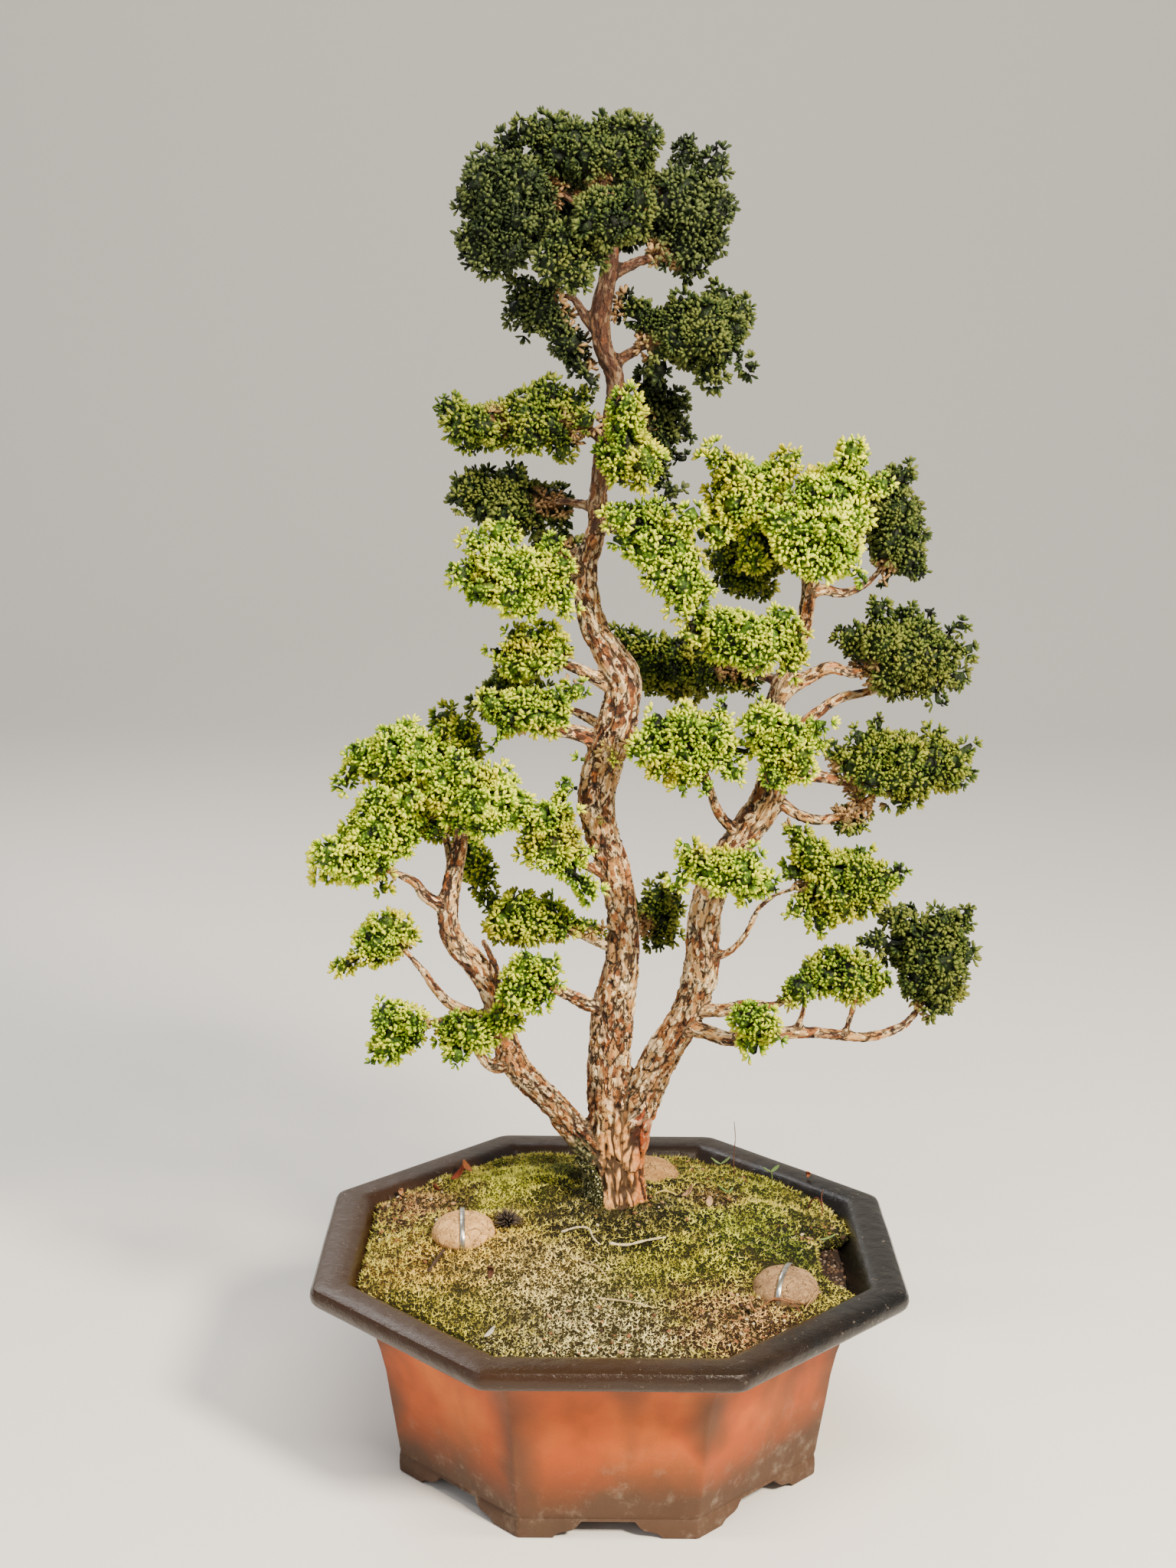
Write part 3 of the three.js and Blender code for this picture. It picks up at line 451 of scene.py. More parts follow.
def makeClay():
    look = clayLook
    material, put, shader = newMaterial("unglazed stoneware clay", Specular_IOR_Level=0.3)
    place = put("TexCoord", out="Object")
    centred = put("VectorMath", [place, (potX, 0, 0)], "SUBTRACT")
    x, y, z = (put("SeparateXYZ", [centred], out=i) for i in range(3))

    cloud = put("TexNoise", {"Vector": centred, "Detail": 3}, size=look["cloud"])
    grain = put("TexNoise", {"Vector": centred, "Roughness": 0.7}, size=look["grain"])
    blotch = put("TexNoise", {"Vector": centred, "Detail": 4, "Roughness": 0.6}, size=(22, 22, 34))
    body = put("ValToRGB", [cloud], stops=[(0.3, look["clayDeep"]), (0.5, look["clay"]), (0.68, look["clayPale"])])
    deep = put("MapRange", [blotch, 0.5, 0.75, 0.0, 0.35], "SMOOTHSTEP")
    body = put("Mix", [deep, body, look["clayDeep"]])
    pepper = put("MapRange", [grain, 0.56, 0.74, 0.0, 0.4], "SMOOTHSTEP")
    body = put("Mix", [pepper, body, "#7A4527"])

    # how near the closest corner of the octagon is, from the angle round the pot
    angle = put("Math", [y, x], "ARCTAN2")
    shifted = put("Math", [angle, math.pi / 8 + 4 * math.pi], "ADD")
    eighth = put("Math", [shifted, math.pi / 8], "PINGPONG")
    # the wandering edge spreads the grey-brown wide, partly painted shade on the front-left
    wander = put("TexNoise", {"Vector": centred}, size=70)
    wander = put("Math", [wander, 0.42, -0.12], "MULTIPLY_ADD")
    nearCorner = put("Math", [eighth, wander], "ADD")
    corner = put("MapRange", [nearCorner, 0.27, 0.04, 0.0, 0.85], "SMOOTHSTEP")
    wave = put("Math", [cloud, -0.075], "MULTIPLY")
    height = put("Math", [z, wave], "ADD")
    rising = put("MapRange", [x, 0.07, 0.15, 0.0, -0.018], "SMOOTHSTEP")
    height = put("Math", [height, rising], "ADD")  # painted shade: the grey-brown reaches higher on the right
    low = put("MapRange", [height, 0.034, -0.02, 0.0, 0.95], "SMOOTHSTEP")
    # long upright grey-brown streaks, partly soot and partly painted shade
    sootAndShadeStreaks = put("TexNoise", {"Vector": centred, "Detail": 3, "Roughness": 0.55}, size=(70, 70, 260))
    sootAndShadeStreaks = put("MapRange", [sootAndShadeStreaks, 0.5, 0.64, 0.0, 0.6], "SMOOTHSTEP")
    smoke = put("Math", [put("Math", [corner, low], "MAXIMUM"), sootAndShadeStreaks], "MAXIMUM")
    smokeAndShadeTint = put("Mix", [blotch, look["smoke"], look["ash"]])
    body = put("Mix", [smoke, body, smokeAndShadeTint])

    # the slip's lower edge wanders and has a few runs
    runs = put("TexNoise", {"Vector": centred}, size=(20, 20, 300))
    runs = put("MapRange", [runs, 0.56, 0.7, 0.0, -0.011], "SMOOTHSTEP")
    edge = put("Math", [runs, look["slipEdge"] * mm], "ADD")
    above = put("Math", [z, edge], "SUBTRACT")
    slip = put("MapRange", [above, -0.0012, 0.0012], "SMOOTHSTEP")
    radial = put("VectorMath", [centred, (1.0, 1.0, 0.0)], "MULTIPLY")
    facing = put("VectorMath", [put("NewGeometry", out="Normal"), radial], "DOT_PRODUCT", out="Value")
    inner = put("MapRange", [facing, 0.0, -0.02])
    inner = put("Math", [inner, put("MapRange", [z, 0.04, 0.045])], "MULTIPLY")
    slip = put("Math", [slip, inner], "MAXIMUM")  # the inner wall is slipped too
    patch = put("TexNoise", {"Vector": centred, "Detail": 4, "Roughness": 0.65}, size=(34, 34, 20))
    tint = put("Math", [x, -1.9, put("Math", [patch, 0.35, 0.38], "MULTIPLY_ADD")], "MULTIPLY_ADD")
    slips = [(0.26, look["slipBlack"]), (0.46, look["slip"]), (0.66, look["slipBrown"])]
    slipColour = put("ValToRGB", [tint], stops=slips)
    worn = put("TexNoise", {"Vector": centred, "Detail": 4, "Roughness": 0.75}, size=5)
    worn = put("MapRange", [worn, 0.62, 0.7, 0.0, 0.3], "SMOOTHSTEP")
    slipColour = put("Mix", [worn, slipColour, look["scratch"]])
    colour = put("Mix", [slip, body, slipColour])
    white = put("TexNoise", {"Vector": centred, "Detail": 4, "Roughness": 0.75}, size=16)
    white = put("MapRange", [white, 0.5, 0.8, 0.0, 0.3], "SMOOTHSTEP")
    bloom = put("Math", [white, low], "MULTIPLY")
    colour = put("Mix", [bloom, colour, look["salt"]])
    gloss = put("MapRange", [slip, 0.0, 1.0, look["clayGloss"], look["slipGloss"]])
    rough = put("Math", [patch, 0.1, gloss], "MULTIPLY_ADD")
    lumps = put("TexNoise", {"Vector": centred}, size=(11, 11, 7))
    lumps = put("Math", [lumps, slip], "MULTIPLY")
    relief = put("Math", [patch, 2.0, grain], "MULTIPLY_ADD")
    relief = put("Math", [lumps, 2.6, relief], "MULTIPLY_ADD")  # the slip dried thick and thin
    wire(put, shader, colour, rough, relief, 0.3 * mm)
    return material


potBody = makePot()
cutters = [footCutter(), prism("recess", pot["base"] - pot["footBand"], low=-3, high=pot["recess"])]
for side in (-1, 1):
    cutters.append(prism("drain", pot["drainRadius"], low=-5, high=40, x=side * pot["drainX"], sides=24))
    cutters.append(prism("tie", pot["tieRadius"], low=-5, high=40, x=side * pot["tieX"], sides=16))
cut(potBody, cutters)
potBody.data.materials.clear()
potBody.data.materials.append(makeClay())
finish(potBody, "pot_clay", "pot")
potBody.data.set_sharp_from_angle(angle=math.radians(32))
print("pot made,", triangles(potBody), "triangles")


# Centre lines as x, y, z and radius in mm, measured from the pot's centre
stems = {
    "trunk": [
        (8, 40, 116, 28), (7, 38, 141, 25), (6, 38, 160, 21.5), (5, 37, 185, 19.5), (2, 35, 212, 17.4), (0, 32, 240, 15.8),
        (-1, 29, 266, 15), (0, 26, 291, 15.2), (2, 22, 311, 14.5), (6, 18, 334, 12.5), (8, 15, 356, 11.5), (7, 12, 377, 10.6),
        (4, 9, 398, 10.3), (-1, 6, 418, 10.6), (-8, 3, 439, 11.4), (-11, 0, 462, 12), (-8, -2, 482, 12.4),
        (-2, -4, 501, 12.8),
        (4, -4, 521, 12.4), (6, -4, 543, 11.5), (-3, -3, 560, 10.4), (-14, -1, 578, 9), (-19, 1, 598, 8.6), (-20, 3, 618, 8),
        (-13, 6, 641, 6.4), (-12, 6, 663, 6.2), (-9, 4, 690, 6.2), (-2, -1, 724, 6), (-2, -3, 741, 6), (-9, -5, 756, 6.3),
        (-12, -8, 774, 6.4), (-9, -11, 794, 6), (-5, -14, 814, 5.2), (-8, -19, 841, 4.2), (-13, -22, 869, 2.5),
    ],
    "right": [
        (10, 34, 190, 15), (17, 31, 224, 14.5), (27, 26, 253, 13), (37, 21, 275, 12), (48, 15, 297, 11.5), (56, 9, 319, 11.5),
        (62, 4, 344, 12), (62, 0, 366, 11.6), (64, -3, 389, 10.8), (70, -6, 410, 10), (79, -8, 428, 10.4), (89, -8, 443, 11),
        (102, -6, 462, 11), (107, -2, 482, 9.4), (107, 2, 505, 7.6), (108, 6, 529, 6.6), (116, 9, 551, 6),
        (123, 11, 568, 5.6),
        (127, 12, 590, 5.2), (129, 12, 609, 5), (135, 8, 639, 3.5), (142, -4, 668, 2),
    ],
    "left": [
        (4, 34, 178, 12), (-14, 28, 203, 10.5), (-24, 24, 217, 9.8), (-37, 17, 236, 9.3), (-51, 10, 253, 9), (-63, 3, 269, 9),
        (-70, -3, 286, 9.2), (-76, -9, 306, 9), (-79, -13, 324, 9), (-84, -16, 339, 8.8), (-93, -17, 352, 8.4),
        (-102, -17, 362, 8), (-109, -15, 374, 7.6), (-110, -12, 389, 7), (-108, -9, 404, 6.2), (-105, -7, 420, 6),
        (-101, -6, 439, 4.5), (-98, -6, 463, 2.5),
    ],
}
branches = [
    [(-77, -12, 307, 5), (-94, -18, 316, 4.2), (-108, -22, 324, 3.8), (-118, -22, 334, 3.4), (-127, -21, 347, 2.8),
        (-140, -20, 362, 1.8)],
    [(-68, 0, 276, 6), (-78, -8, 275, 5), (-87, -18, 284, 3.4), (-95, -26, 301, 1.8)],
    [(-79, -16, 333, 4), (-79, -24, 353, 3), (-87, -28, 372, 1.8)],
    [(4, 22, 303, 6), (-10, 14, 311, 5.2), (-24, 2, 321, 4.6), (-38, -16, 334, 3.6), (-48, -32, 344, 2.6),
        (-57, -42, 352, 1.8)],
    [(-109, -12, 385, 5.6), (-117, -15, 392, 4.6), (-126, -18, 399, 4), (-133, -20, 409, 3.4), (-154, -26, 420, 2)],
    [(-8, -3, 501, 6.5), (-24, -8, 508, 5.4), (-40, -13, 511, 4.6), (-54, -17, 514, 3.6), (-65, -20, 518, 2)],
    [(0, -4, 537, 5), (-20, -8, 549, 4), (-42, -12, 558, 2.2)],
    [(50, 10, 299, 6), (66, -2, 299, 5.5), (81, -10, 297, 5), (103, -13, 301, 4.6), (125, -12, 303, 4.4), (149, -9, 301, 4),
        (175, -4, 297, 3.6), (200, 3, 303, 3.2), (215, 8, 319, 2)],
    [(58, 8, 313, 5.5), (74, -4, 315, 4.6), (91, -12, 322, 4), (111, -14, 323, 3), (123, -13, 330, 1.8)],
    [(66, 0, 352, 4), (79, -8, 358, 2.6), (90, -13, 372, 2.2), (98, -17, 391, 2), (112, -20, 403, 1.8), (138, -21, 410, 1.6)],
    [(87, -8, 440, 5), (77, -16, 448, 4.2), (68, -24, 461, 3.6), (62, -32, 479, 2.8), (56, -38, 500, 1.8)],
    [(102, -6, 459, 5), (112, -8, 461, 4.4), (123, -8, 454, 4), (139, -7, 450, 3.6), (158, -5, 456, 3), (177, -4, 469, 2)],
    [(106, -4, 475, 6), (119, -6, 479, 5), (135, -6, 480, 4.4), (149, -5, 477, 3.8), (165, -4, 475, 3), (181, -4, 481, 2)],
    [(108, 6, 529, 6), (118, 4, 539, 5.6), (130, 2, 546, 5), (143, 0, 552, 4.4), (160, 2, 548, 3.4), (181, 6, 553, 2)],
    [(108, 2, 498, 5.4), (123, 6, 510, 4.4), (137, 12, 520, 4), (152, 16, 529, 3.6), (174, 18, 534, 3), (192, 16, 543, 1.8)],
    [(128, 12, 602, 4.6), (139, 12, 602, 4), (152, 13, 600, 3.4), (166, 15, 606, 2.6), (180, 17, 620, 1.8)],
    [(-20, 2, 612, 5), (-32, -8, 619, 4.2), (-46, -18, 622, 3.2), (-57, -24, 620, 2)],
    [(-8, -12, 802, 4.2), (12, -8, 812, 3.6), (32, -2, 818, 2.8), (44, 4, 824, 1.8)],
    [(-12, -8, 768, 4), (-20, -7, 776, 3.4), (-28, -5, 788, 2.8), (-38, -2, 792, 1.8)],
]
twigs = [
    [(-7, -17, 832, 3.5), (-34, -18, 852, 2.6), (-52, -16, 858, 1.8)],
    [(-7, -18, 836, 3.5), (14, -10, 848, 2.6), (30, -4, 854, 1.8)],
    [(-6, -16, 824, 3.4), (-8, -38, 834, 2.6), (-6, -50, 838, 1.8)],
    [(-6, -15, 820, 3.6), (-10, 14, 840, 2.8), (-10, 40, 848, 1.8)],
    [(-4, -3, 748, 4), (20, -2, 762, 3.2), (44, 0, 770, 1.8)], [(-4, 1, 712, 4), (10, 24, 708, 3), (20, 40, 706, 1.8)],
    [(-8, 3, 694, 3.5), (0, -22, 698, 2.8), (6, -40, 694, 1.8)],
    [(-7, 2, 700, 4), (-26, 6, 708, 3.4), (-48, 8, 709, 2.8), (-84, -2, 712, 1.8)],
    [(-12, 6, 656, 4), (-32, 16, 658, 3), (-56, 24, 658, 1.8)], [(-13, 6, 644, 3.6), (4, -14, 642, 3), (20, -32, 640, 1.8)],
    [(133, 10, 628, 3.5), (108, 0, 656, 2.8), (94, -8, 666, 1.8)],
    [(131, 11, 618, 4), (132, -12, 628, 3), (128, -28, 634, 1.8)],
    [(128, 12, 604, 4), (124, 36, 622, 3), (120, 50, 634, 1.8)],
    [(119, 10, 558, 4), (108, -10, 572, 3.2), (94, -26, 576, 1.8)],
    [(112, 8, 540, 4), (94, 26, 544, 3.2), (72, 42, 545, 1.8)], [(0, -4, 508, 4), (-26, 16, 518, 3.2), (-54, 34, 522, 1.8)],
    [(107, -1, 490, 4), (108, -20, 502, 3), (106, -34, 510, 1.8)], [(71, -6, 412, 4), (74, -30, 418, 3), (75, -42, 424, 1.8)],
    [(8, 15, 352, 4), (18, 34, 360, 3), (28, 46, 366, 1.8)], [(84, -10, 298, 3.4), (92, -24, 306, 2.8), (97, -36, 315, 1.8)],
    [(126, -12, 303, 2.6), (130, -13, 318, 2.2), (132, -12, 332, 1.6)],
    [(160, -7, 300, 2.6), (164, -12, 320, 2.2), (168, -13, 336, 1.6)],
    [(-101, -6, 440, 4), (-118, -4, 462, 3), (-134, -2, 482, 1.8)],
    [(-101, -6, 438, 3.4), (-92, -20, 452, 2.8), (-88, -30, 462, 1.8)],
    [(-107, -8, 408, 3.6), (-112, 16, 424, 3), (-118, 38, 440, 1.8)],
    [(2, 8, 404, 4), (-22, -8, 420, 3.2), (-38, -20, 434, 1.8)], [(8, 15, 350, 4), (-20, 8, 364, 3.2), (-46, 6, 374, 1.8)],
    [(-96, -19, 317, 3), (-118, -20, 311, 2.6), (-136, -20, 308, 1.8)],
    [(-18, 4, 628, 3.6), (-26, 34, 624, 2.8), (-34, 52, 620, 1.8)],
]

wood = {
    "ringStep": 2.5, "sides": 26, "voxel": 1.8, "soften": 4, "fissure": 1.7, "flake": 0.9,
    "plateSize": (6, 6, 18), "flakeSize": (2.6, 2.6, 5), "cleftSize": (9.5, 9.5, 75), "cleftTop": 262,
    "roots": 6, "rootReach": 98,
    "rootDrops": ((0.08, 14, 13), (0.35, 22, 9), (0.68, 36, 6), (1, 52, 3)),  # share of the reach, drop and radius
}


def rootLines():  # roots that leave the trunk's foot under the moss
    lines = []
    x, y, z = stems["trunk"][1][:3]
    for i in range(wood["roots"]):
        angle = 0.35 + i * 2 * math.pi / wood["roots"]
        reach = wood["rootReach"] * (1 - 0.12 * (i % 3))
        line = []
        for share, drop, radius in wood["rootDrops"]:
            turned = angle + 0.3 * share
            line.append((x + math.cos(turned) * reach * share, y + math.sin(turned) * reach * share, z - drop, radius))
        lines.append(line)
    return lines


def limbCurves():
    curve = bpy.data.curves.new("limb_lines", "CURVE")
    curve.dimensions = "3D"
    for line in [*stems.values(), *branches, *twigs, *rootLines()]:
        spline = curve.splines.new("POLY")
        spline.points.add(len(line) - 1)
        for point, (px, py, pz, radius) in zip(spline.points, line):
            point.co = (px * mm + potX, py * mm, pz * mm, 1)
            point.radius = radius * mm
    return newPiece("limb_lines", curve)


def limbTree():  # round tubes along the lines, each point knowing its place on the limb laid straight
    put, source, sink = groupTree("limb tubes", Lines="Object", Ring_Step=0.0025, Sides=24, Material="Material")
    lines = put("ObjectInfo", {"Object": source["Lines"]}, out="Geometry")
    smooth = put("CurveSplineType", {"Curve": lines}, spline_type="CATMULL_ROM")
    fine = put("ResampleCurve", {"Curve": smooth, "Length": source["Ring Step"]}, mode="LENGTH")
    length = put("SplineParameter", out="Length")
    number = put("CurveOfPoint", out="Curve Index")
    along = put("Math", [number, 0.371, length], "MULTIPLY_ADD")  # so that no two limbs repeat the pattern
    radius = put("InputRadius")
    named = put("StoreNamedAttribute", {"Geometry": fine, "Name": "along", "Value": along})
    named = put("StoreNamedAttribute", {"Geometry": named, "Name": "thick", "Value": radius})
    circle = put("CurvePrimitiveCircle", {"Resolution": source["Sides"], "Radius": 1.0})
    spot = put("InputPosition")
    ring = put("StoreNamedAttribute", {"Geometry": circle, "Name": "ringPlace", "Value": spot}, "FLOAT_VECTOR")
    tube = put("CurveToMesh", {"Curve": named, "Profile Curve": ring, "Scale": radius, "Fill Caps": True})
    across = put("InputNamedAttribute", {"Name": "ringPlace"}, "FLOAT_VECTOR")
    thick = put("InputNamedAttribute", {"Name": "thick"})
    far = put("InputNamedAttribute", {"Name": "along"})
    flat = put("VectorMath", {0: across, "Scale": thick}, "SCALE")
    lift = put("CombineXYZ", {"Z": far})
    straight = put("VectorMath", [flat, lift], "ADD")
    kept = put("StoreNamedAttribute", {"Geometry": tube, "Name": "barkPlace", "Value": straight}, "FLOAT_VECTOR")
    return closeTree(put, sink, kept, source["Material"])


def barkPattern(put, place, height):  # grooves, plates, flakes and their curled edges, shared by the bark's shape and colour
    warp = put("TexNoise", {"Vector": place, "Detail": 3, "Roughness": 0.6}, out="Color", size=(6, 6, 11))
    warp = put("VectorMath", [warp, (1.1, 1.1, 0.9), (-0.55, -0.55, -0.45)], "MULTIPLY_ADD")
    slow = put("TexNoise", {"Vector": place, "Roughness": 0.6}, out="Color", size=(16, 16, 34))
    slow = put("VectorMath", [slow, (1.4, 1.4, 1.0), (-0.7, -0.7, -0.5)], "MULTIPLY_ADD")
    spots = {
        name: put("VectorMath", [place, [1000 / side for side in wood[name + "Size"]], bend], "MULTIPLY_ADD")
        for name, bend in (("plate", warp), ("flake", warp), ("cleft", slow))
    }
    edge = put("TexVoronoi", {"Vector": spots["plate"], "Scale": 1.0}, "DISTANCE_TO_EDGE")
    groove = put("MapRange", [edge, 0.13, 0.02], "SMOOTHSTEP")
    curl = put("MapRange", [edge, 0.32, 0.16], "SMOOTHSTEP")
    gaps = put("TexNoise", {"Vector": place, "Roughness": 0.6}, size=(9, 9, 20))
    gaps = put("MapRange", [gaps, 0.38, 0.52], "SMOOTHSTEP")
    groove = put("Math", [groove, gaps], "MULTIPLY")
    cleft = put("TexVoronoi", {"Vector": spots["cleft"], "Scale": 1.0}, "DISTANCE_TO_EDGE")
    cleft = put("MapRange", [cleft, 0.13, 0.045], "SMOOTHSTEP")
    low = put("MapRange", [height, wood["cleftTop"] * mm, (wood["cleftTop"] - 50) * mm, 0.35, 1.0])
    cleft = put("Math", [cleft, low], "MULTIPLY")
    plate, flake = (
        put("SeparateXYZ", [put("TexVoronoi", {"Vector": spots[name], "Scale": 1.0}, out="Color")])
        for name in ("plate", "flake")
    )
    return groove, cleft, plate, flake, curl


def barkTree():  # raises plates and flakes and sinks fissures, shallower on thin twigs
    put, source, sink = groupTree("bark relief", Tubes="Object", Fissure=0.0017, Flake=0.0009, Material="Material")
    tubes = put("ObjectInfo", {"Object": source["Tubes"]}, out="Geometry")
    spot = put("InputPosition")
    kept = source["Geometry"]
    for name, kind in (("barkPlace", "FLOAT_VECTOR"), ("thick", "FLOAT")):
        value = put("InputNamedAttribute", {"Name": name}, kind)
        near = put("SampleNearestSurface", {"Mesh": tubes, "Value": value, "Sample Position": spot}, kind)
        kept = put("StoreNamedAttribute", {"Geometry": kept, "Name": name, "Value": near}, kind)
    place = put("InputNamedAttribute", {"Name": "barkPlace"}, "FLOAT_VECTOR")
    thick = put("InputNamedAttribute", {"Name": "thick"})
    groove, cleft, plate, flake, curl = barkPattern(put, place, put("SeparateXYZ", [spot], out=2))
    groove = put("Math", [cleft, 1.3, groove], "MULTIPLY_ADD")
    rough = put("TexNoise", {"Vector": place, "Detail": 3, "Roughness": 0.7}, size=(3, 3, 4))
    lump = put("TexNoise", {"Vector": place}, size=(24, 24, 38))
    height = put("Math", [lump, 0.004, -0.002], "MULTIPLY_ADD")
    height = put("Math", [rough, 0.0011, height], "MULTIPLY_ADD")
    scales = put("Math", [plate, flake], "ADD")
    scales = put("Math", [scales, 0.85], "SUBTRACT")
    height = put("Math", [scales, source["Flake"], height], "MULTIPLY_ADD")
    sunk = put("Math", [groove, source["Fissure"]], "MULTIPLY")
    height = put("Math", [height, sunk], "SUBTRACT")
    share = put("MapRange", [thick, 0.0015, 0.014, 0.25, 1.0], "SMOOTHSTEP")
    height = put("Math", [height, share], "MULTIPLY")
    normal = put("InputNormal")
    move = put("VectorMath", {0: normal, "Scale": height}, "SCALE")
    moved = put("SetPosition", {"Geometry": kept, "Offset": move})
    return closeTree(put, sink, moved, source["Material"])


# Cypress bark: dry, matt, red-brown fibres under tan and cream flakes with curled edges. The foot is split into
# long smooth plates by dark clefts, its right side is orange, and dark moss creeps up its left side.
barkLook = {
    "dark": "#1C1008", "brown": "#4E2A12", "rust": "#8C5428", "tan": "#C49458", "grey": "#B48E5E", "pale": "#FFE2B2",
    "orange": "#C2661E", "plate": "#DE8A40", "platePale": "#FFC47C", "stain": "#943A18", "moss": "#3C3C1A",
    "lichen": "#A8A070", "dim": "#3E2214", "dimShare": 0.85,
    "footHeight": 226, "mossHeight": 214, "dimFrom": 590, "dimTo": 690,  # mm; painted shade: the bark high up, under the shaded top, is darker
}


def makeBark():
    look = barkLook
    material, put, shader = newMaterial("cypress bark", Roughness=0.8, Specular_IOR_Level=0.35)
    place = put("Attribute", out="Vector", attribute_name="barkPlace")
    spot = put("TexCoord", out="Object")
    x, z = (put("SeparateXYZ", [spot], out=i) for i in (0, 2))
    groove, cleft, plate, flake, curl = barkPattern(put, place, z)
    fibre = put("TexNoise", {"Vector": place, "Detail": 4, "Roughness": 0.7, "Distortion": 0.3}, size=(1.3, 1.3, 9))
    cloud = put("TexNoise", {"Vector": place}, size=(16, 16, 40))
    pit = put("TexNoise", {"Vector": place, "Detail": 3, "Roughness": 0.75}, size=(2.6, 2.6, 4.5))
    tone = put("Math", [plate, 0.5], "MULTIPLY")
    tone = put("Math", [flake, 0.4, tone], "MULTIPLY_ADD")
    tone = put("Math", [fibre, 0.2, tone], "MULTIPLY_ADD")
    colour = put("ValToRGB", [tone], stops=[
        (0.22, look["brown"]), (0.42, look["rust"]), (0.58, look["tan"]), (0.72, look["grey"]), (0.92, look["pale"]),
    ])
    warm = put("MapRange", [cloud, 0.5, 0.64, 0.0, 0.8], "SMOOTHSTEP")
    torn = put("MapRange", [flake, 0.3, 0.7], "SMOOTHSTEP")
    strip = put("Math", [warm, torn], "MULTIPLY")
    colour = put("Mix", [strip, colour, look["orange"]])

    # long smooth plates at the foot, paler in front and orange on the right, with a dark red stain above
    torn = put("Math", [put("Math", [cloud, plate], "ADD"), 0.035, z], "MULTIPLY_ADD")
    low = put("MapRange", [torn, (look["footHeight"] + 33) * mm, (look["footHeight"] + 20) * mm], "SMOOTHSTEP")
    front = put("MapRange", [x, potX - 0.012, potX - 0.002], "SMOOTHSTEP")
    foot = put("Math", [low, front], "MULTIPLY")
    right = put("MapRange", [put("Math", [cloud, 0.012, x], "MULTIPLY_ADD"), potX + 0.02, potX + 0.025])
    silky = put("Mix", [fibre, look["plate"], look["platePale"]])
    silky = put("Mix", [put("Math", [right, 0.85], "MULTIPLY"), silky, look["orange"]])
    colour = put("Mix", [put("Math", [foot, 0.85], "MULTIPLY"), colour, silky])
    away = put("VectorMath", [spot, (potX + 0.022, 0.02, 0.219)], "SUBTRACT")
    away = put("VectorMath", [away, (90.0, 30.0, 45.0)], "MULTIPLY")
    away = put("VectorMath", [away], "LENGTH", out="Value")
    stain = put("MapRange", [away, 1.0, 0.5, 0.0, 0.85], "SMOOTHSTEP")
    colour = put("Mix", [stain, colour, look["stain"]])

    rough = put("Math", [foot, -0.75, 1.0], "MULTIPLY_ADD")
    # the curled flake edges are paler: partly their own pale colour, partly a painted highlight
    paleEdgeAndHighlight = put("MapRange", [put("Math", [curl, flake], "MULTIPLY"), 0.45, 0.7, 0.0, 0.6])
    paleEdgeAndHighlight = put("Math", [paleEdgeAndHighlight, rough], "MULTIPLY")
    colour = put("Mix", [paleEdgeAndHighlight, colour, look["pale"]])
    pitted = put("MapRange", [pit, 0.54, 0.62, 0.0, 0.9], "SMOOTHSTEP")
    pitted = put("Math", [pitted, rough], "MULTIPLY")
    colour = put("Mix", [pitted, colour, look["dark"]])
    split = put("Math", [put("Math", [groove, rough], "MULTIPLY"), cleft], "MAXIMUM")
    colour = put("Mix", [put("Math", [split, 0.94], "MULTIPLY"), colour, look["dark"]])

    # moss on the left side of the foot
    speck = put("TexVoronoi", {"Vector": spot}, out="Color", size=1.7)
    wander = put("TexNoise", {"Vector": spot, "Detail": 3, "Roughness": 0.6}, size=14)
    left = put("Math", [wander, 0.03, x], "MULTIPLY_ADD")
    left = put("MapRange", [left, potX + 0.008, potX + 0.003])
    under = put("Math", [wander, 0.03, z], "MULTIPLY_ADD")
    under = put("MapRange", [under, (look["mossHeight"] + 15) * mm, (look["mossHeight"] + 9) * mm])
    mossy = put("Math", [left, under], "MULTIPLY")
    green = put("ValToRGB", [speck], stops=[(0.15, "#10110A"), (0.55, look["moss"]), (0.95, look["lichen"])])
    colour = put("Mix", [mossy, colour, green])

    # painted shade: the bark darkens towards the top
    dim = put("MapRange", [z, look["dimFrom"] * mm, look["dimTo"] * mm, 0.0, look["dimShare"]], "SMOOTHSTEP")
    colour = put("Mix", [dim, colour, look["dim"]])
    relief = put("Math", [fibre, 0.7, flake], "MULTIPLY_ADD")
    relief = put("Math", [relief, rough], "MULTIPLY")
    relief = put("Math", [paleEdgeAndHighlight, 0.6, relief], "MULTIPLY_ADD")
    relief = put("Math", [relief, pitted], "SUBTRACT")
    relief = put("Math", [relief, split], "SUBTRACT")
    wire(put, shader, colour, None, relief, 0.9 * mm)
    return material


bark = makeBark()
limbLines = limbCurves()
tubes = newPiece("limb_tubes", bpy.data.meshes.new("limb_tubes"))
useTree(tubes, limbTree(), Lines=limbLines, Ring_Step=wood["ringStep"] * mm, Sides=wood["sides"], Material=bark)
applied(tubes)
treeWood = welded(newPiece("tree_bark", tubes.data.copy()), wood["voxel"])
soften = treeWood.modifiers.new("soften", "SMOOTH")
soften.factor = 0.5
soften.iterations = wood["soften"]
useTree(treeWood, barkTree(), Tubes=tubes, Fissure=wood["fissure"] * mm, Flake=wood["flake"] * mm, Material=bark)
applied(treeWood)
bpy.data.objects.remove(limbLines)
bpy.data.objects.remove(tubes)
finish(treeWood, "bark", "tree_wood")
print("wood made,", triangles(treeWood), "triangles")
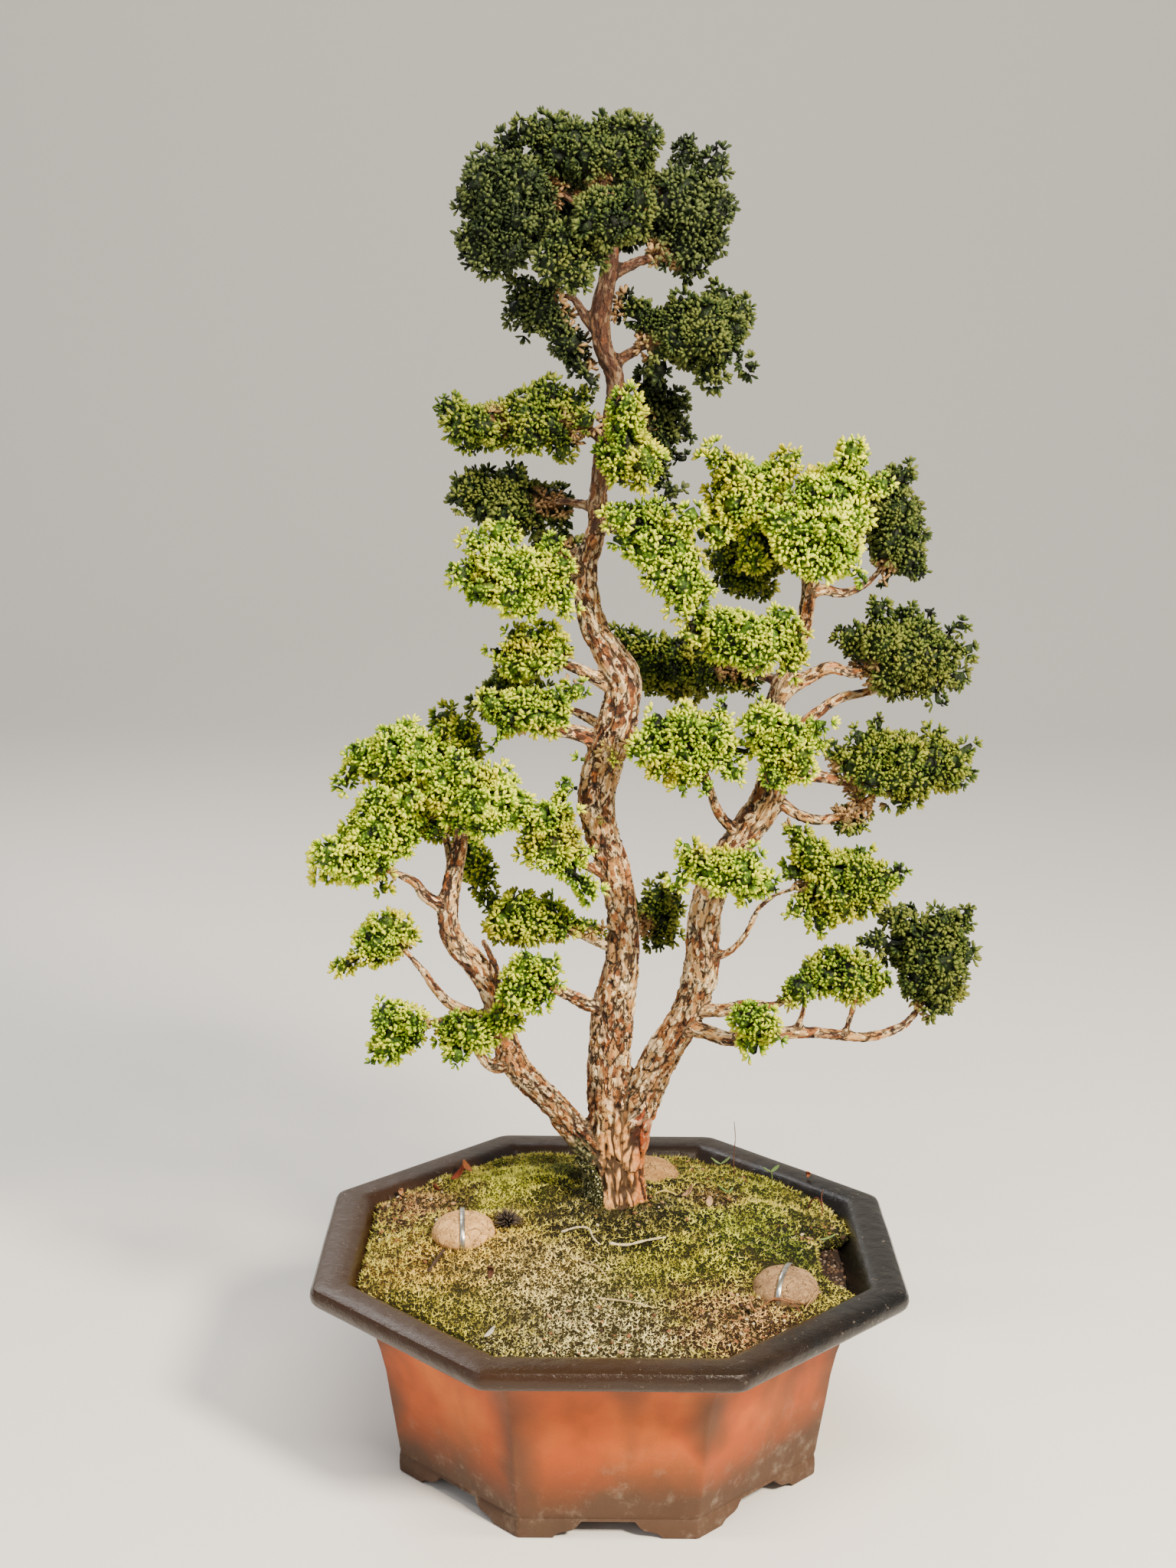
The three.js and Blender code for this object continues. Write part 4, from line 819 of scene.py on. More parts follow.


# How much painted sunlight each foliage pad's colour carries, from 0 for deep painted shade to 1, and where small
# clumps
# stand out of it, seen from the front: x and z from the pot's centre, and radius, in mm
pads = {
    "apex_top": (0.05, [(-60, 891, 9), (-48, 895, 9), (-34, 891, 10), (-22, 886, 9), (-12, 896, 8), (2, 891, 11),
        (14, 888, 11)]),
    "apex_left": (0.02, [(-94, 813, 9), (-89, 828, 12), (-92, 849, 12), (-77, 816, 12), (-83, 868, 11), (-69, 882, 10),
        (-87, 859, 9), (-61, 822, 10)]),
    "apex_right": (0.02, [(59, 843, 11), (70, 845, 7), (47, 812, 11), (35, 817, 9), (60, 880, 9), (42, 884, 10), (25, 813, 8),
        (58, 870, 9), (61, 826, 10)]),
    "apex_front": (0.06, [(-43, 813, 11), (-29, 805, 12), (-17, 816, 10), (-37, 823, 10), (-10, 827, 10)]),
    "apex_back": (0.0, []),
    "neck_left": (0.03, [(-64, 799, 8), (-66, 781, 9), (-60, 769, 8), (-46, 799, 9), (-25, 760, 9), (-27, 748, 9),
        (-17, 738, 8), (-33, 769, 8)]),
    "neck_right": (0.06, [(7, 792, 8), (5, 780, 9), (20, 772, 10), (85, 744, 8), (61, 744, 9), (66, 792, 9), (40, 790, 8),
        (28, 744, 9), (78, 780, 9)]),
    "neck_front": (0.65, [(3, 726, 11), (3, 712, 9), (-4, 694, 12), (16, 688, 11), (4, 678, 9)]),
    "neck_back": (0.03, [(23, 732, 11), (38, 722, 10), (47, 703, 9), (43, 686, 8), (37, 663, 8), (26, 718, 12), (21, 743, 9),
        (30, 693, 9)]),
    "upper_left": (0.26, [(-110, 720, 10), (-101, 710, 11), (-78, 715, 9), (-62, 721, 11), (-45, 727, 12), (-25, 723, 10),
        (-21, 711, 9), (-37, 695, 9), (-64, 701, 10)]),
    "shade_left": (0.1, [(-107, 657, 7), (-100, 668, 9), (-90, 674, 9), (-67, 676, 9), (-37, 660, 10), (-79, 655, 9),
        (-58, 651, 9), (-49, 648, 8), (-39, 656, 8), (-32, 641, 8), (-60, 641, 8), (-53, 666, 7)]),
    "shade_back": (0.06, []),
    "middle_left": (0.85, [(-106, 622, 7), (-91, 638, 8), (-73, 642, 9), (-36, 622, 10), (-34, 604, 8), (-56, 599, 8),
        (-89, 603, 8), (-42, 634, 9), (-31, 592, 6), (-99, 615, 8)]),
    "middle_right": (0.8, [(2, 656, 10), (0, 640, 7), (18, 656, 9), (46, 656, 9), (49, 626, 9), (45, 610, 8), (41, 595, 7),
        (53, 602, 8), (29, 634, 10), (48, 615, 8), (52, 605, 8), (45, 599, 7), (59, 610, 7), (11, 659, 8), (25, 657, 8)]),
    "crown_left": (0.8, [(62, 693, 7), (68, 684, 8), (66, 670, 9), (113, 692, 6), (111, 684, 6), (105, 677, 8), (66, 643, 9),
        (55, 639, 8), (88, 623, 9)]),
    "crown_front": (0.95, [(146, 698, 9), (155, 690, 8), (149, 681, 11), (166, 678, 8), (115, 623, 8), (135, 619, 8),
        (160, 613, 6), (122, 668, 10), (93, 658, 9), (106, 646, 9)]),
    "crown_right": (0.08, [(186, 675, 9), (192, 679, 6), (195, 654, 10), (185, 638, 9), (192, 619, 10), (205, 612, 7),
        (176, 663, 8), (194, 621, 9), (203, 614, 8), (186, 630, 9), (180, 606, 7)]),
    "crown_back": (0.25, [(88, 608, 10), (101, 599, 8), (107, 616, 9), (72, 620, 10), (82, 610, 10), (88, 599, 10),
        (96, 618, 9), (76, 601, 8), (100, 593, 8)]),
    "stem_front": (0.75, [(68, 588, 9), (107, 589, 9), (116, 576, 8), (87, 566, 11), (62, 580, 8), (116, 558, 7),
        (77, 576, 10), (48, 585, 8), (56, 591, 8), (44, 579, 6), (104, 574, 8), (117, 567, 8), (120, 581, 7)]),
    "stem_back": (0.2, [(33, 547, 14), (54, 538, 13), (72, 547, 12), (93, 534, 9), (24, 529, 8), (13, 563, 6), (26, 559, 6),
        (6, 565, 8), (11, 554, 8), (18, 539, 8), (29, 530, 9), (48, 525, 8), (25, 562, 8)]),
    "elbow_left_top": (0.8, [(-67, 576, 8), (-78, 564, 8), (-53, 568, 9), (-42, 560, 8), (-65, 553, 8), (-26, 564, 5)]),
    "elbow_left_low": (0.7, [(-81, 532, 8), (-85, 521, 7), (-69, 519, 9), (-77, 505, 8), (-52, 528, 8), (-23, 540, 6),
        (-40, 537, 8)]),
    "elbow_left_back": (0.2, [(-93, 518, 8), (-76, 527, 8)]),
    "heart_left": (0.85, [(28, 526, 9), (24, 511, 8), (47, 524, 10), (63, 516, 10), (51, 495, 9), (72, 503, 8), (45, 480, 7),
        (31, 499, 8), (71, 534, 8), (17, 504, 8), (27, 491, 8), (45, 484, 8), (59, 479, 8), (77, 489, 8), (84, 502, 8),
        (22, 516, 7)]),
    "heart_right": (0.85, [(96, 526, 11), (112, 520, 10), (100, 505, 11), (121, 503, 9), (109, 488, 8), (129, 516, 7),
        (88, 520, 8), (91, 536, 6), (130, 508, 9), (132, 522, 8), (121, 491, 8), (112, 482, 7), (101, 485, 8), (91, 518, 8)]),
    "far_upper": (0.12, [(153, 575, 7), (151, 567, 6), (162, 563, 8), (173, 549, 7), (175, 588, 9), (194, 584, 10),
        (228, 582, 7), (235, 563, 7), (230, 542, 8), (218, 527, 7), (188, 537, 8), (209, 588, 8), (152, 576, 8),
        (162, 562, 9), (173, 547, 8)]),
    "far_middle": (0.22, [(162, 507, 9), (148, 496, 8), (167, 490, 9), (236, 503, 7), (241, 484, 6), (231, 475, 8),
        (193, 466, 7), (200, 497, 10), (217, 509, 7), (174, 520, 8), (156, 449, 9), (166, 442, 7), (195, 466, 8),
        (188, 461, 7), (218, 472, 7), (230, 476, 7), (163, 481, 8)]),
    "low_front": (0.85, [(48, 441, 8), (44, 420, 8), (52, 430, 9), (89, 437, 9), (86, 416, 9), (98, 418, 9), (75, 416, 7),
        (106, 414, 7), (90, 405, 7)]),
    "low_right": (0.5, [(129, 435, 9), (121, 420, 9), (138, 418, 10), (130, 400, 8), (137, 385, 7), (159, 422, 9),
        (170, 414, 8), (193, 420, 7), (165, 433, 7), (122, 394, 6), (122, 445, 8), (128, 433, 8), (189, 422, 7),
        (137, 381, 7), (124, 389, 7), (167, 404, 8)]),
    "trunk_back": (0.2, [(29, 375, 9), (40, 371, 9), (31, 357, 8), (26, 382, 8), (35, 384, 8), (47, 378, 7), (41, 354, 8),
        (32, 345, 7), (21, 368, 8)]),
    "reach_inner": (0.85, [(88, 325, 10), (101, 321, 10), (93, 307, 9), (110, 312, 8), (97, 297, 5)]),
    "reach_middle": (0.5, [(124, 340, 9), (118, 327, 7), (149, 356, 8), (158, 347, 8), (167, 336, 7), (182, 332, 7),
        (186, 343, 7), (137, 332, 6)]),
    "reach_tip": (0.1, [(177, 364, 8), (192, 380, 9), (206, 384, 8), (224, 380, 8), (243, 382, 7), (247, 358, 6),
        (220, 367, 9), (208, 348, 9), (190, 357, 8), (220, 317, 9), (209, 326, 9), (231, 311, 7)]),
    "left_crown_top": (1.0, [(-171, 495, 9), (-150, 502, 10), (-161, 489, 10), (-135, 500, 8), (-180, 471, 7), (-184, 469, 5),
        (-112, 511, 8), (-118, 491, 9)]),
    "left_crown_side": (0.95, [(-157, 467, 10), (-170, 441, 9), (-149, 445, 9), (-179, 421, 8), (-191, 412, 6),
        (-162, 417, 9), (-153, 428, 8), (-141, 432, 7), (-154, 401, 4)]),
    "left_crown_front": (0.95, [(-131, 470, 10), (-112, 481, 10), (-89, 483, 10), (-77, 474, 10), (-102, 457, 10),
        (-119, 448, 9), (-81, 453, 9), (-64, 466, 9), (-127, 491, 8), (-102, 495, 9), (-58, 462, 8), (-89, 444, 8)]),
    "left_crown_inner": (0.85, [(-56, 451, 9), (-42, 447, 10), (-31, 434, 9), (-44, 429, 9), (-56, 431, 8), (-27, 419, 8),
        (-18, 408, 8), (-12, 399, 6), (-31, 473, 8), (-29, 462, 6), (-16, 430, 6)]),
    "left_crown_back": (0.5, [(-93, 409, 8), (-86, 398, 8), (-101, 411, 7), (-95, 409, 8), (-91, 398, 8), (-97, 387, 7),
        (-84, 378, 8), (-120, 506, 8), (-111, 510, 8), (-102, 501, 8), (-95, 492, 8)]),
    "left_low_tip": (0.85, [(-162, 371, 9), (-141, 375, 9), (-152, 362, 8), (-173, 353, 6), (-158, 351, 7), (-135, 364, 8),
        (-150, 384, 8), (-180, 350, 4)]),
    "left_low_end": (0.9, [(-153, 313, 9), (-138, 311, 9), (-151, 299, 9), (-131, 299, 8), (-159, 290, 6), (-142, 286, 6),
        (-162, 283, 4)]),
    "left_low_heart": (0.75, [(-100, 319, 8), (-113, 312, 8), (-90, 308, 9), (-103, 294, 9), (-83, 295, 7), (-111, 299, 7),
        (-73, 321, 9), (-64, 316, 6)]),
    "left_low_front": (0.8, [(-56, 369, 8), (-43, 361, 9), (-58, 350, 8), (-41, 346, 7), (-51, 334, 8), (-64, 337, 8),
        (-37, 352, 6)]),
    "left_low_back": (0.6, [(-74, 379, 9), (-61, 384, 9), (-48, 379, 9), (-35, 371, 8), (-18, 375, 7), (-9, 366, 6),
        (-78, 366, 7), (-57, 366, 8), (-42, 391, 7)]),
}
trunkClumps = [(-20, -15, 492, 6), (-6, -15, 486, 6), (-26, -14, 472, 6), (-5, -15, 452, 5), (-30, -12, 455, 5),
               (-4, -17, 502, 6), (3, -17, 496, 6), (10, -17, 505, 6), (-2, -17, 494, 5)]  # x, y, z, radius

foliage = {
    "depth": 15, "coreShare": 0.4, "lobeSpacing": 12, "lobeSmall": 5, "lobeLarge": 8.5, "lobeReach": 18, "lobeWave": 20,  # mm
    "topFrom": 880, "topDrop": 6, "clumpLeast": 3, "clumpSkin": 3.4, "clumpSway": 7, "linkRadius": 3.2, "linkStep": 2.5,
    "voxel": 4, "floretSpacing": 4.02, "floretSmall": 0.8, "floretLarge": 1.25, "lean": 0.2, "scatter": 0.45, "ragged": 3.2,
    "nubs": 6, "nubLength": 5.8, "nubRadius": 1.3, "stalkRadius": 0.5, "kinds": 4, "lump": 12, "lumpHeight": 3.8,
    "coreTip": 0.15, "brownReach": 13,
}


def floretMesh(name, seed):  # a crest of round-tipped nubs fanned out from one stalk
    pick = random.Random(seed)
    places, faces, tips = [], [], []
    for i in range(foliage["nubs"]):
        outer = i >= 2
        tilt = math.radians(pick.uniform(42, 66) if outer else pick.uniform(8, 26))
        turn = 2 * math.pi * ((i - 2) / (foliage["nubs"] - 2) if outer else i / 2) + pick.uniform(-0.35, 0.35)
        direction, side, up = heading(tilt, turn)
        length = foliage["nubLength"] * pick.uniform(0.82, 1.1)
        thick = foliage["nubRadius"] * pick.uniform(0.85, 1.15)
        flat = pick.uniform(0.7, 1)
        first = len(places)
        for share, radius in ((0.1, foliage["stalkRadius"]), (0.74, thick)):
            for corner in range(3):
                angle = 2 * math.pi * (corner + 0.5 * (share > 0.5)) / 3 + i
                spot = direction * length * share + (side * math.cos(angle) + up * math.sin(angle) * flat) * radius
                places.append(spot * mm)
                tips.append(share)
        places.append(direction * length * mm)
        tips.append(1.0)
        for corner in range(3):
            after = (corner + 1) % 3
            faces.append((first + corner, first + after, first + 3 + corner))
            faces.append((first + after, first + 3 + after, first + 3 + corner))
            faces.append((first + 3 + corner, first + 3 + after, first + 6))
    return fromFaces(name, places, faces, tips)


def lobeTree():  # knobbly lobes, some short and some long, grown out of a pad's core
    put, source, sink = groupTree(
        "foliage lobes", Clumps="Object", Spacing=0.014, Small=0.007, Large=0.012, Reach=0.012, Wave=0.02, Seed=0,
        Material="Material",
    )
    points = scattered(put, source, source["Geometry"], 6.0)
    spot = put("InputPosition")
    spot = put("VectorMath", {0: spot, "Scale": put("Math", [1.0, source["Wave"]], "DIVIDE")}, "SCALE")
    swell = put("TexNoise", {"Vector": spot, "Scale": 1.0, "Detail": 1.0, "Roughness": 0.6})
    swell = put("MapRange", [swell, 0.34, 0.68, -0.45, 0.55])
    push = put("Math", [swell, source["Reach"]], "MULTIPLY")
    half = put("Math", [push, 0.5], "MULTIPLY")
    offset = put("VectorMath", {0: points["Normal"], "Scale": half}, "SCALE")
    moved = put("SetPosition", {"Geometry": points["Points"], "Offset": offset})
    size = put("RandomValue", {"Min": source["Small"], "Max": source["Large"], "Seed": source["Seed"]})
    longer = put("Math", [half, 0.0], "MAXIMUM")
    longer = put("Math", [longer, size], "ADD")
    scale = put("CombineXYZ", [size, size, longer])
    aimed = put("AlignRotationToVector", {"Vector": points["Normal"]}, axis="Z")
    ball = put("MeshIcoSphere", {"Radius": 1.0, "Subdivisions": 2})
    balls = put("InstanceOnPoints", {"Points": moved, "Instance": ball, "Rotation": aimed, "Scale": scale})
    clumps = put("ObjectInfo", {"Object": source["Clumps"]}, out="Geometry")
    both = put("JoinGeometry", [[balls, clumps, source["Geometry"]]])
    return closeTree(put, sink, both, source["Material"])


def floretTree():  # florets all over the lobes, pointing outwards and a little up
    put, source, sink = groupTree(
        "florets", Kinds="Collection", Wood="Object", Spacing=0.007, Small=0.8, Large=1.2, Lean=0.3, Scatter=0.5,
        Ragged=0.003, Lump_Height=0.003, Core_Tip=0.3, Brown_Reach=0.02, Sun=0.5, Seed=0, Material="Material",
    )
    spot = put("InputPosition")
    lump = put("TexNoise", {"Vector": spot, "Detail": 1}, size=foliage["lump"])
    lump = put("MapRange", [lump, 0.3, 0.7, -1.0, 1.0])
    depth = put("Math", [lump, source["Lump Height"]], "MULTIPLY")
    swollen = put("VectorMath", {0: put("InputNormal"), "Scale": depth}, "SCALE")
    swollen = put("SetPosition", {"Geometry": source["Geometry"], "Offset": swollen})
    swollen = put("StoreNamedAttribute", {"Geometry": swollen, "Name": "lump", "Value": lump})
    points = scattered(put, source, swollen, 6.0)
    tone = put("RandomValue", {"Min": 0.0, "Max": 1.0, "Seed": source["Seed"]})
    out = put("Math", [tone, source["Ragged"]], "MULTIPLY")
    out = put("VectorMath", {0: points["Normal"], "Scale": out}, "SCALE")
    moved = put("SetPosition", {"Geometry": points["Points"], "Offset": out})
    named = put("StoreNamedAttribute", {"Geometry": moved, "Name": "tone", "Value": tone})
    jitter = put("RandomValue", {
        "Min": (-1.0, -1.0, -1.0), "Max": (1.0, 1.0, 1.0), "Seed": source["Seed"],
    }, "FLOAT_VECTOR")
    jitter = put("VectorMath", {0: jitter, "Scale": source["Scatter"]}, "SCALE")
    up = put("CombineXYZ", {"Z": source["Lean"]})
    aim = put("VectorMath", [points["Normal"], up], "ADD")
    aim = put("VectorMath", [aim, jitter], "ADD")
    aimed = put("AlignRotationToVector", {"Vector": aim}, axis="Z")
    roll = put("RandomValue", {
        "Min": (0.0, 0.0, 0.0), "Max": (0.0, 0.0, 2 * math.pi), "Seed": source["Seed"],
    }, "FLOAT_VECTOR")
    roll = put("EulerToRotation", [roll])
    rolled = put("RotateRotation", [aimed, roll], rotation_space="LOCAL")
    placed = planted(put, source, named, rolled)
    # the core under the florets gets a low tip value, so it is coloured dark: painted shade between the florets
    core = put("StoreNamedAttribute", {"Geometry": swollen, "Name": "tone", "Value": 0.3})
    core = put("StoreNamedAttribute", {"Geometry": core, "Name": "tip", "Value": source["Core Tip"]})
    real = put("RealizeInstances", [put("JoinGeometry", [[placed, core]])])
    sunny = put("StoreNamedAttribute", {"Geometry": real, "Name": "sun", "Value": source["Sun"]})
    limbs = put("ObjectInfo", {"Object": source["Wood"]}, out="Geometry")
    away = put("Proximity", {"Geometry": limbs}, out="Distance", target_element="FACES")
    brown = put("MapRange", [away, source["Brown Reach"], 0.002], "SMOOTHSTEP")
    browned = put("StoreNamedAttribute", {"Geometry": sunny, "Name": "brown", "Value": brown})
    return closeTree(put, sink, browned, source["Material"])


# Crested scale leaves: waxy and half matt, each nub dark at its foot and yellow-green at its growing tip; the
# near-black at the nubs' feet is partly painted shade. Old florets next to the wood are rust-brown; a pad with a low
# sun value gets the shaded copies of the colours, a deep blue-green, as painted shade.
leafLook = {
    "pit": "#0C1006", "leaf": "#486A06", "young": "#90AE0C", "tip": "#E2E436", "shadePit": "#0F120A",
    "shadeLeaf": "#162210", "shadeYoung": "#253216", "shadeTip": "#454F2A", "yellow": "#CFAE30", "rust": "#74492A",
    "pale": "#A98458",
}


def makeLeaf():
    look = leafLook
    material, put, shader = newMaterial("cypress scale leaves", Roughness=0.62, Specular_IOR_Level=0.2)
    tip, tone, sun, brown, lump = (
        put("Attribute", out="Fac", attribute_name=name) for name in ("tip", "tone", "sun", "brown", "lump")
    )
    spot = put("TexCoord", out="Object")
    drift = put("TexNoise", {"Vector": spot, "Roughness": 0.6}, size=38)
    fine = put("TexNoise", {"Vector": spot, "Roughness": 0.6}, size=2.2)
    level = put("Math", [tone, 0.3, -0.15], "MULTIPLY_ADD")
    level = put("Math", [fine, 0.3, level], "MULTIPLY_ADD")
    level = put("Math", [lump, 0.34, level], "MULTIPLY_ADD")  # painted shade: the hollows between the lumps are darker
    level = put("Math", [tip, 0.85, level], "MULTIPLY_ADD")
    nub = put("TexVoronoi", {"Vector": spot}, size=2.6)  # crowded small nubs on the core
    nub = put("MapRange", [nub, 0.6, 0.1, -0.1, 0.75])
    core = put("MapRange", [tip, 0.16, 0.14])
    nub = put("Math", [nub, core], "MULTIPLY")
    level = put("Math", [level, nub], "ADD")
    bright = put("ValToRGB", [level], stops=[
        (0.1, look["pit"]), (0.5, look["leaf"]), (0.78, look["young"]), (1.0, look["tip"]),
    ])
    dim = put("ValToRGB", [level], stops=[
        (0.1, look["shadePit"]), (0.55, look["shadeLeaf"]), (0.8, look["shadeYoung"]), (1.0, look["shadeTip"]),
    ])
    # painted light: the pad's sun value mixes a sunlit and a shaded copy of the leaf colours
    colour = put("Mix", [sun, dim, bright])
    # yellow patches, shown only where the pad's painted sun is: partly the leaves' own yellowing, partly painted
    # sunlight
    yellowingInSun = put("MapRange", [drift, 0.52, 0.68], "SMOOTHSTEP")
    yellowingInSun = put("Math", [yellowingInSun, put("Math", [tone, sun], "MULTIPLY")], "MULTIPLY")
    yellowingInSun = put("Math", [yellowingInSun, put("Math", [tip, 0.9], "MULTIPLY")], "MULTIPLY")
    colour = put("Mix", [yellowingInSun, colour, look["yellow"]])
    dead = put("Math", [tone, 0.9, -0.35], "MULTIPLY_ADD")
    dead = put("Math", [dead, brown], "ADD")
    dead = put("MapRange", [dead, 0.55, 1.1, 0.0, 0.9], "SMOOTHSTEP")
    withered = put("Mix", [tone, look["rust"], look["pale"]])
    colour = put("Mix", [dead, colour, withered])
    relief = put("Math", [nub, 1.6, fine], "MULTIPLY_ADD")
    wire(put, shader, colour, None, relief, 0.9 * mm)
    return material


def padCore(name, pieceName):  # the pad shrunk about its middle, so that lobes and florets bring it back to size
    piece = meshCopy(name, pieceName)
    low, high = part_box(name)
    middle, half = (low + high) / 2, (high - low) / 2
    lower = Vector((0, 0, foliage["topDrop"] * mm if high.z > foliage["topFrom"] * mm else 0))  # the top keeps its height
    for vertex in piece.data.vertices:
        for axis in range(3):
            share = max(1 - foliage["depth"] * mm / half[axis], foliage["coreShare"])
            vertex.co[axis] = middle[axis] + (vertex.co[axis] - middle[axis]) * share - lower[axis]
    return piece


def clumpPiece(places, core=None):  # balls of foliage in mm, each joined to the core by a short thick link
    work = bmesh.new()
    for px, py, pz, radius in places:
        spot = Vector((px * mm + potX, py * mm, pz * mm))
        beads = [(spot, max(radius - foliage["clumpSkin"], foliage["clumpLeast"]) * mm)]
        if core:
            near = min((vertex.co for vertex in core.data.vertices), key=lambda place: (place - spot).length_squared)
            steps = int((near - spot).length / (foliage["linkStep"] * mm))
            beads += [(spot.lerp(near, i / steps), foliage["linkRadius"] * mm) for i in range(1, steps)]
        for place, size in beads:
            bmesh.ops.create_icosphere(work, subdivisions=2, radius=size, matrix=Matrix.Translation(place))
    return newPiece("clumps", toMesh("clumps", work))


def growPad(pad, clumps, sun, seed):  # lobes and clumps welded together and covered with florets
    look = foliage
    if clumps:
        useTree(pad, lobes, Clumps=clumps, Spacing=look["lobeSpacing"] * mm, Small=look["lobeSmall"] * mm, Seed=seed,
                Large=look["lobeLarge"] * mm, Reach=look["lobeReach"] * mm, Wave=look["lobeWave"] * mm, Material=leaf)
    welded(pad, look["voxel"])
    useTree(pad, florets, Kinds=floretKinds, Wood=treeWood, Spacing=look["floretSpacing"] * mm, Small=look["floretSmall"],
            Large=look["floretLarge"], Lean=look["lean"], Scatter=look["scatter"], Ragged=look["ragged"] * mm,
            Lump_Height=look["lumpHeight"] * mm, Core_Tip=look["coreTip"], Brown_Reach=look["brownReach"] * mm,
            Sun=sun, Seed=seed + 50, Material=leaf)
    applied(pad)
    if clumps:
        bpy.data.objects.remove(clumps)
    return triangles(pad)


floretKinds = kindsOf("floret_", [floretMesh("floret_" + str(i), i) for i in range(foliage["kinds"])])
leaf = makeLeaf()
lobes, florets = lobeTree(), floretTree()
padTriangles = 0
for i, (name, (sun, clumps)) in enumerate(pads.items()):
    pad = padCore("foliage_" + name, "leaves_" + name)
    low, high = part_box("foliage_" + name)
    depth = (low.y + high.y) / 2 / mm
    places = [(px, depth + foliage["clumpSway"] * (j % 3 - 1), pz, radius) for j, (px, pz, radius) in enumerate(clumps)]
    padTriangles += growPad(pad, clumpPiece(places, pad), sun, i)
    finish(pad, "foliage", "foliage_" + name)
trunkLeaves = clumpPiece(trunkClumps)
trunkLeaves.name = "leaves_trunk"
padTriangles += growPad(trunkLeaves, None, sun=0.8, seed=99)
finish(trunkLeaves, "foliage")
dropKinds(floretKinds)
print("foliage made,", padTriangles, "triangles")


# Moss grows in patches. Each is given by x and y from the pot's centre, radius and rise in mm, and its two greens or
# browns. The shade patch and the darkness of rightEdge are painted shade.
mossPatches = {
    "gold": (-92, -52, 70, 0, "#6E5010", "#FFD056"),
    "straw": (-40, -80, 60, 0, "#64521E", "#FFE490"),
    "frontLeft": (-112, -128, 50, 0, "#3A3C0A", "#CABC3A"),
    "cream": (-4, -150, 66, 1, "#4A3E18", "#FFF0AE"),
    "centre": (52, -60, 56, 1, "#3C440A", "#D8D03C"),
    "pinkBrown": (82, -126, 44, 0, "#3E2412", "#E8B676"),
    "ridge": (98, 6, 50, 5, "#2A3A08", "#BEC834"),
    "deepGreen": (126, -34, 34, 3, "#0E1805", "#5A6C20"),
    "rightEdge": (150, 20, 30, 1, "#101408", "#5C5E28"),
    "back": (112, 98, 52, 2, "#2C3A0C", "#B4B438"),
    "farBack": (10, 142, 60, 0, "#2A3010", "#AAA23E"),
    "bare": (74, 56, 28, -2, "#2A1C10", "#8E6A42"),
    "mound": (-68, 84, 50, 9, "#A6AA20", "#FFF85C"),
    "litter": (-134, 60, 36, 0, "#3A2414", "#CC9A64"),
    "shade": (-30, 102, 26, 0, "#14180A", "#46562A"),
    "foot": (4, 16, 58, 4, "#060503", "#5E5836"),
}

moss = {
    "voxel": 4.6, "wave": 20, "waveHeight": 9, "grain": 5, "grainHeight": 2.2, "speck": 1.8,  # mm
    "shootSpacing": 2.7, "shootSmall": 0.6, "shootLarge": 1.5, "shootHeight": 2.5, "shootRadius": 0.5, "shootSunk": 0.8,
    "leaves": 4, "sleeveVoxel": 2.2, "sleeveSpacing": 2.5,
    "patchSway": 2.2, "patchShare": 0.85, "patchInner": 0.5, "patchOuter": 1.25,
    "dark": "#36320E", "light": "#D4C44E", "fleck": "#FFF8DC",
}


def shootMesh(name, seed):  # a moss shoot: a star of pointed leaves round an upright one
    pick = random.Random(seed)
    places, faces, tips = [], [], []
    for i in range(moss["leaves"]):
        tilt = math.radians(pick.uniform(38, 68) if i else pick.uniform(0, 15))
        turn = 2 * math.pi * i / (moss["leaves"] - 1) + pick.uniform(-0.4, 0.4)
        direction, side, up = heading(tilt, turn)
        length = moss["shootHeight"] * pick.uniform(0.8, 1.15)
        first = len(places)
        for corner in range(3):
            angle = 2 * math.pi * corner / 3 + i
            rim = side * math.cos(angle) + up * math.sin(angle)
            places.append(rim * moss["shootRadius"] * mm - direction * moss["shootSunk"] * mm)
            tips.append(0.2)
        places.append(direction * length * mm)
        tips.append(1.0)
        faces += [(first + corner, first + (corner + 1) % 3, first + 3) for corner in range(3)]
    return fromFaces(name, places, faces, tips)


def patchMask(put, place, name, sway):  # how far inside a moss patch a place is, with a wandering edge
    x, y, radius = mossPatches[name][:3]
    flat = put("VectorMath", [place, (1.0, 1.0, 0.0)], "MULTIPLY")
    away = put("VectorMath", [flat, (x * mm + potX, y * mm, 0)], "DISTANCE", out="Value")
    away = put("Math", [sway, radius * moss["patchSway"] * mm, away], "MULTIPLY_ADD")
    outer, inner = radius * moss["patchOuter"] * mm, radius * moss["patchInner"] * mm
    return put("MapRange", [away, outer, inner, 0.0, moss["patchShare"]], "SMOOTHSTEP")


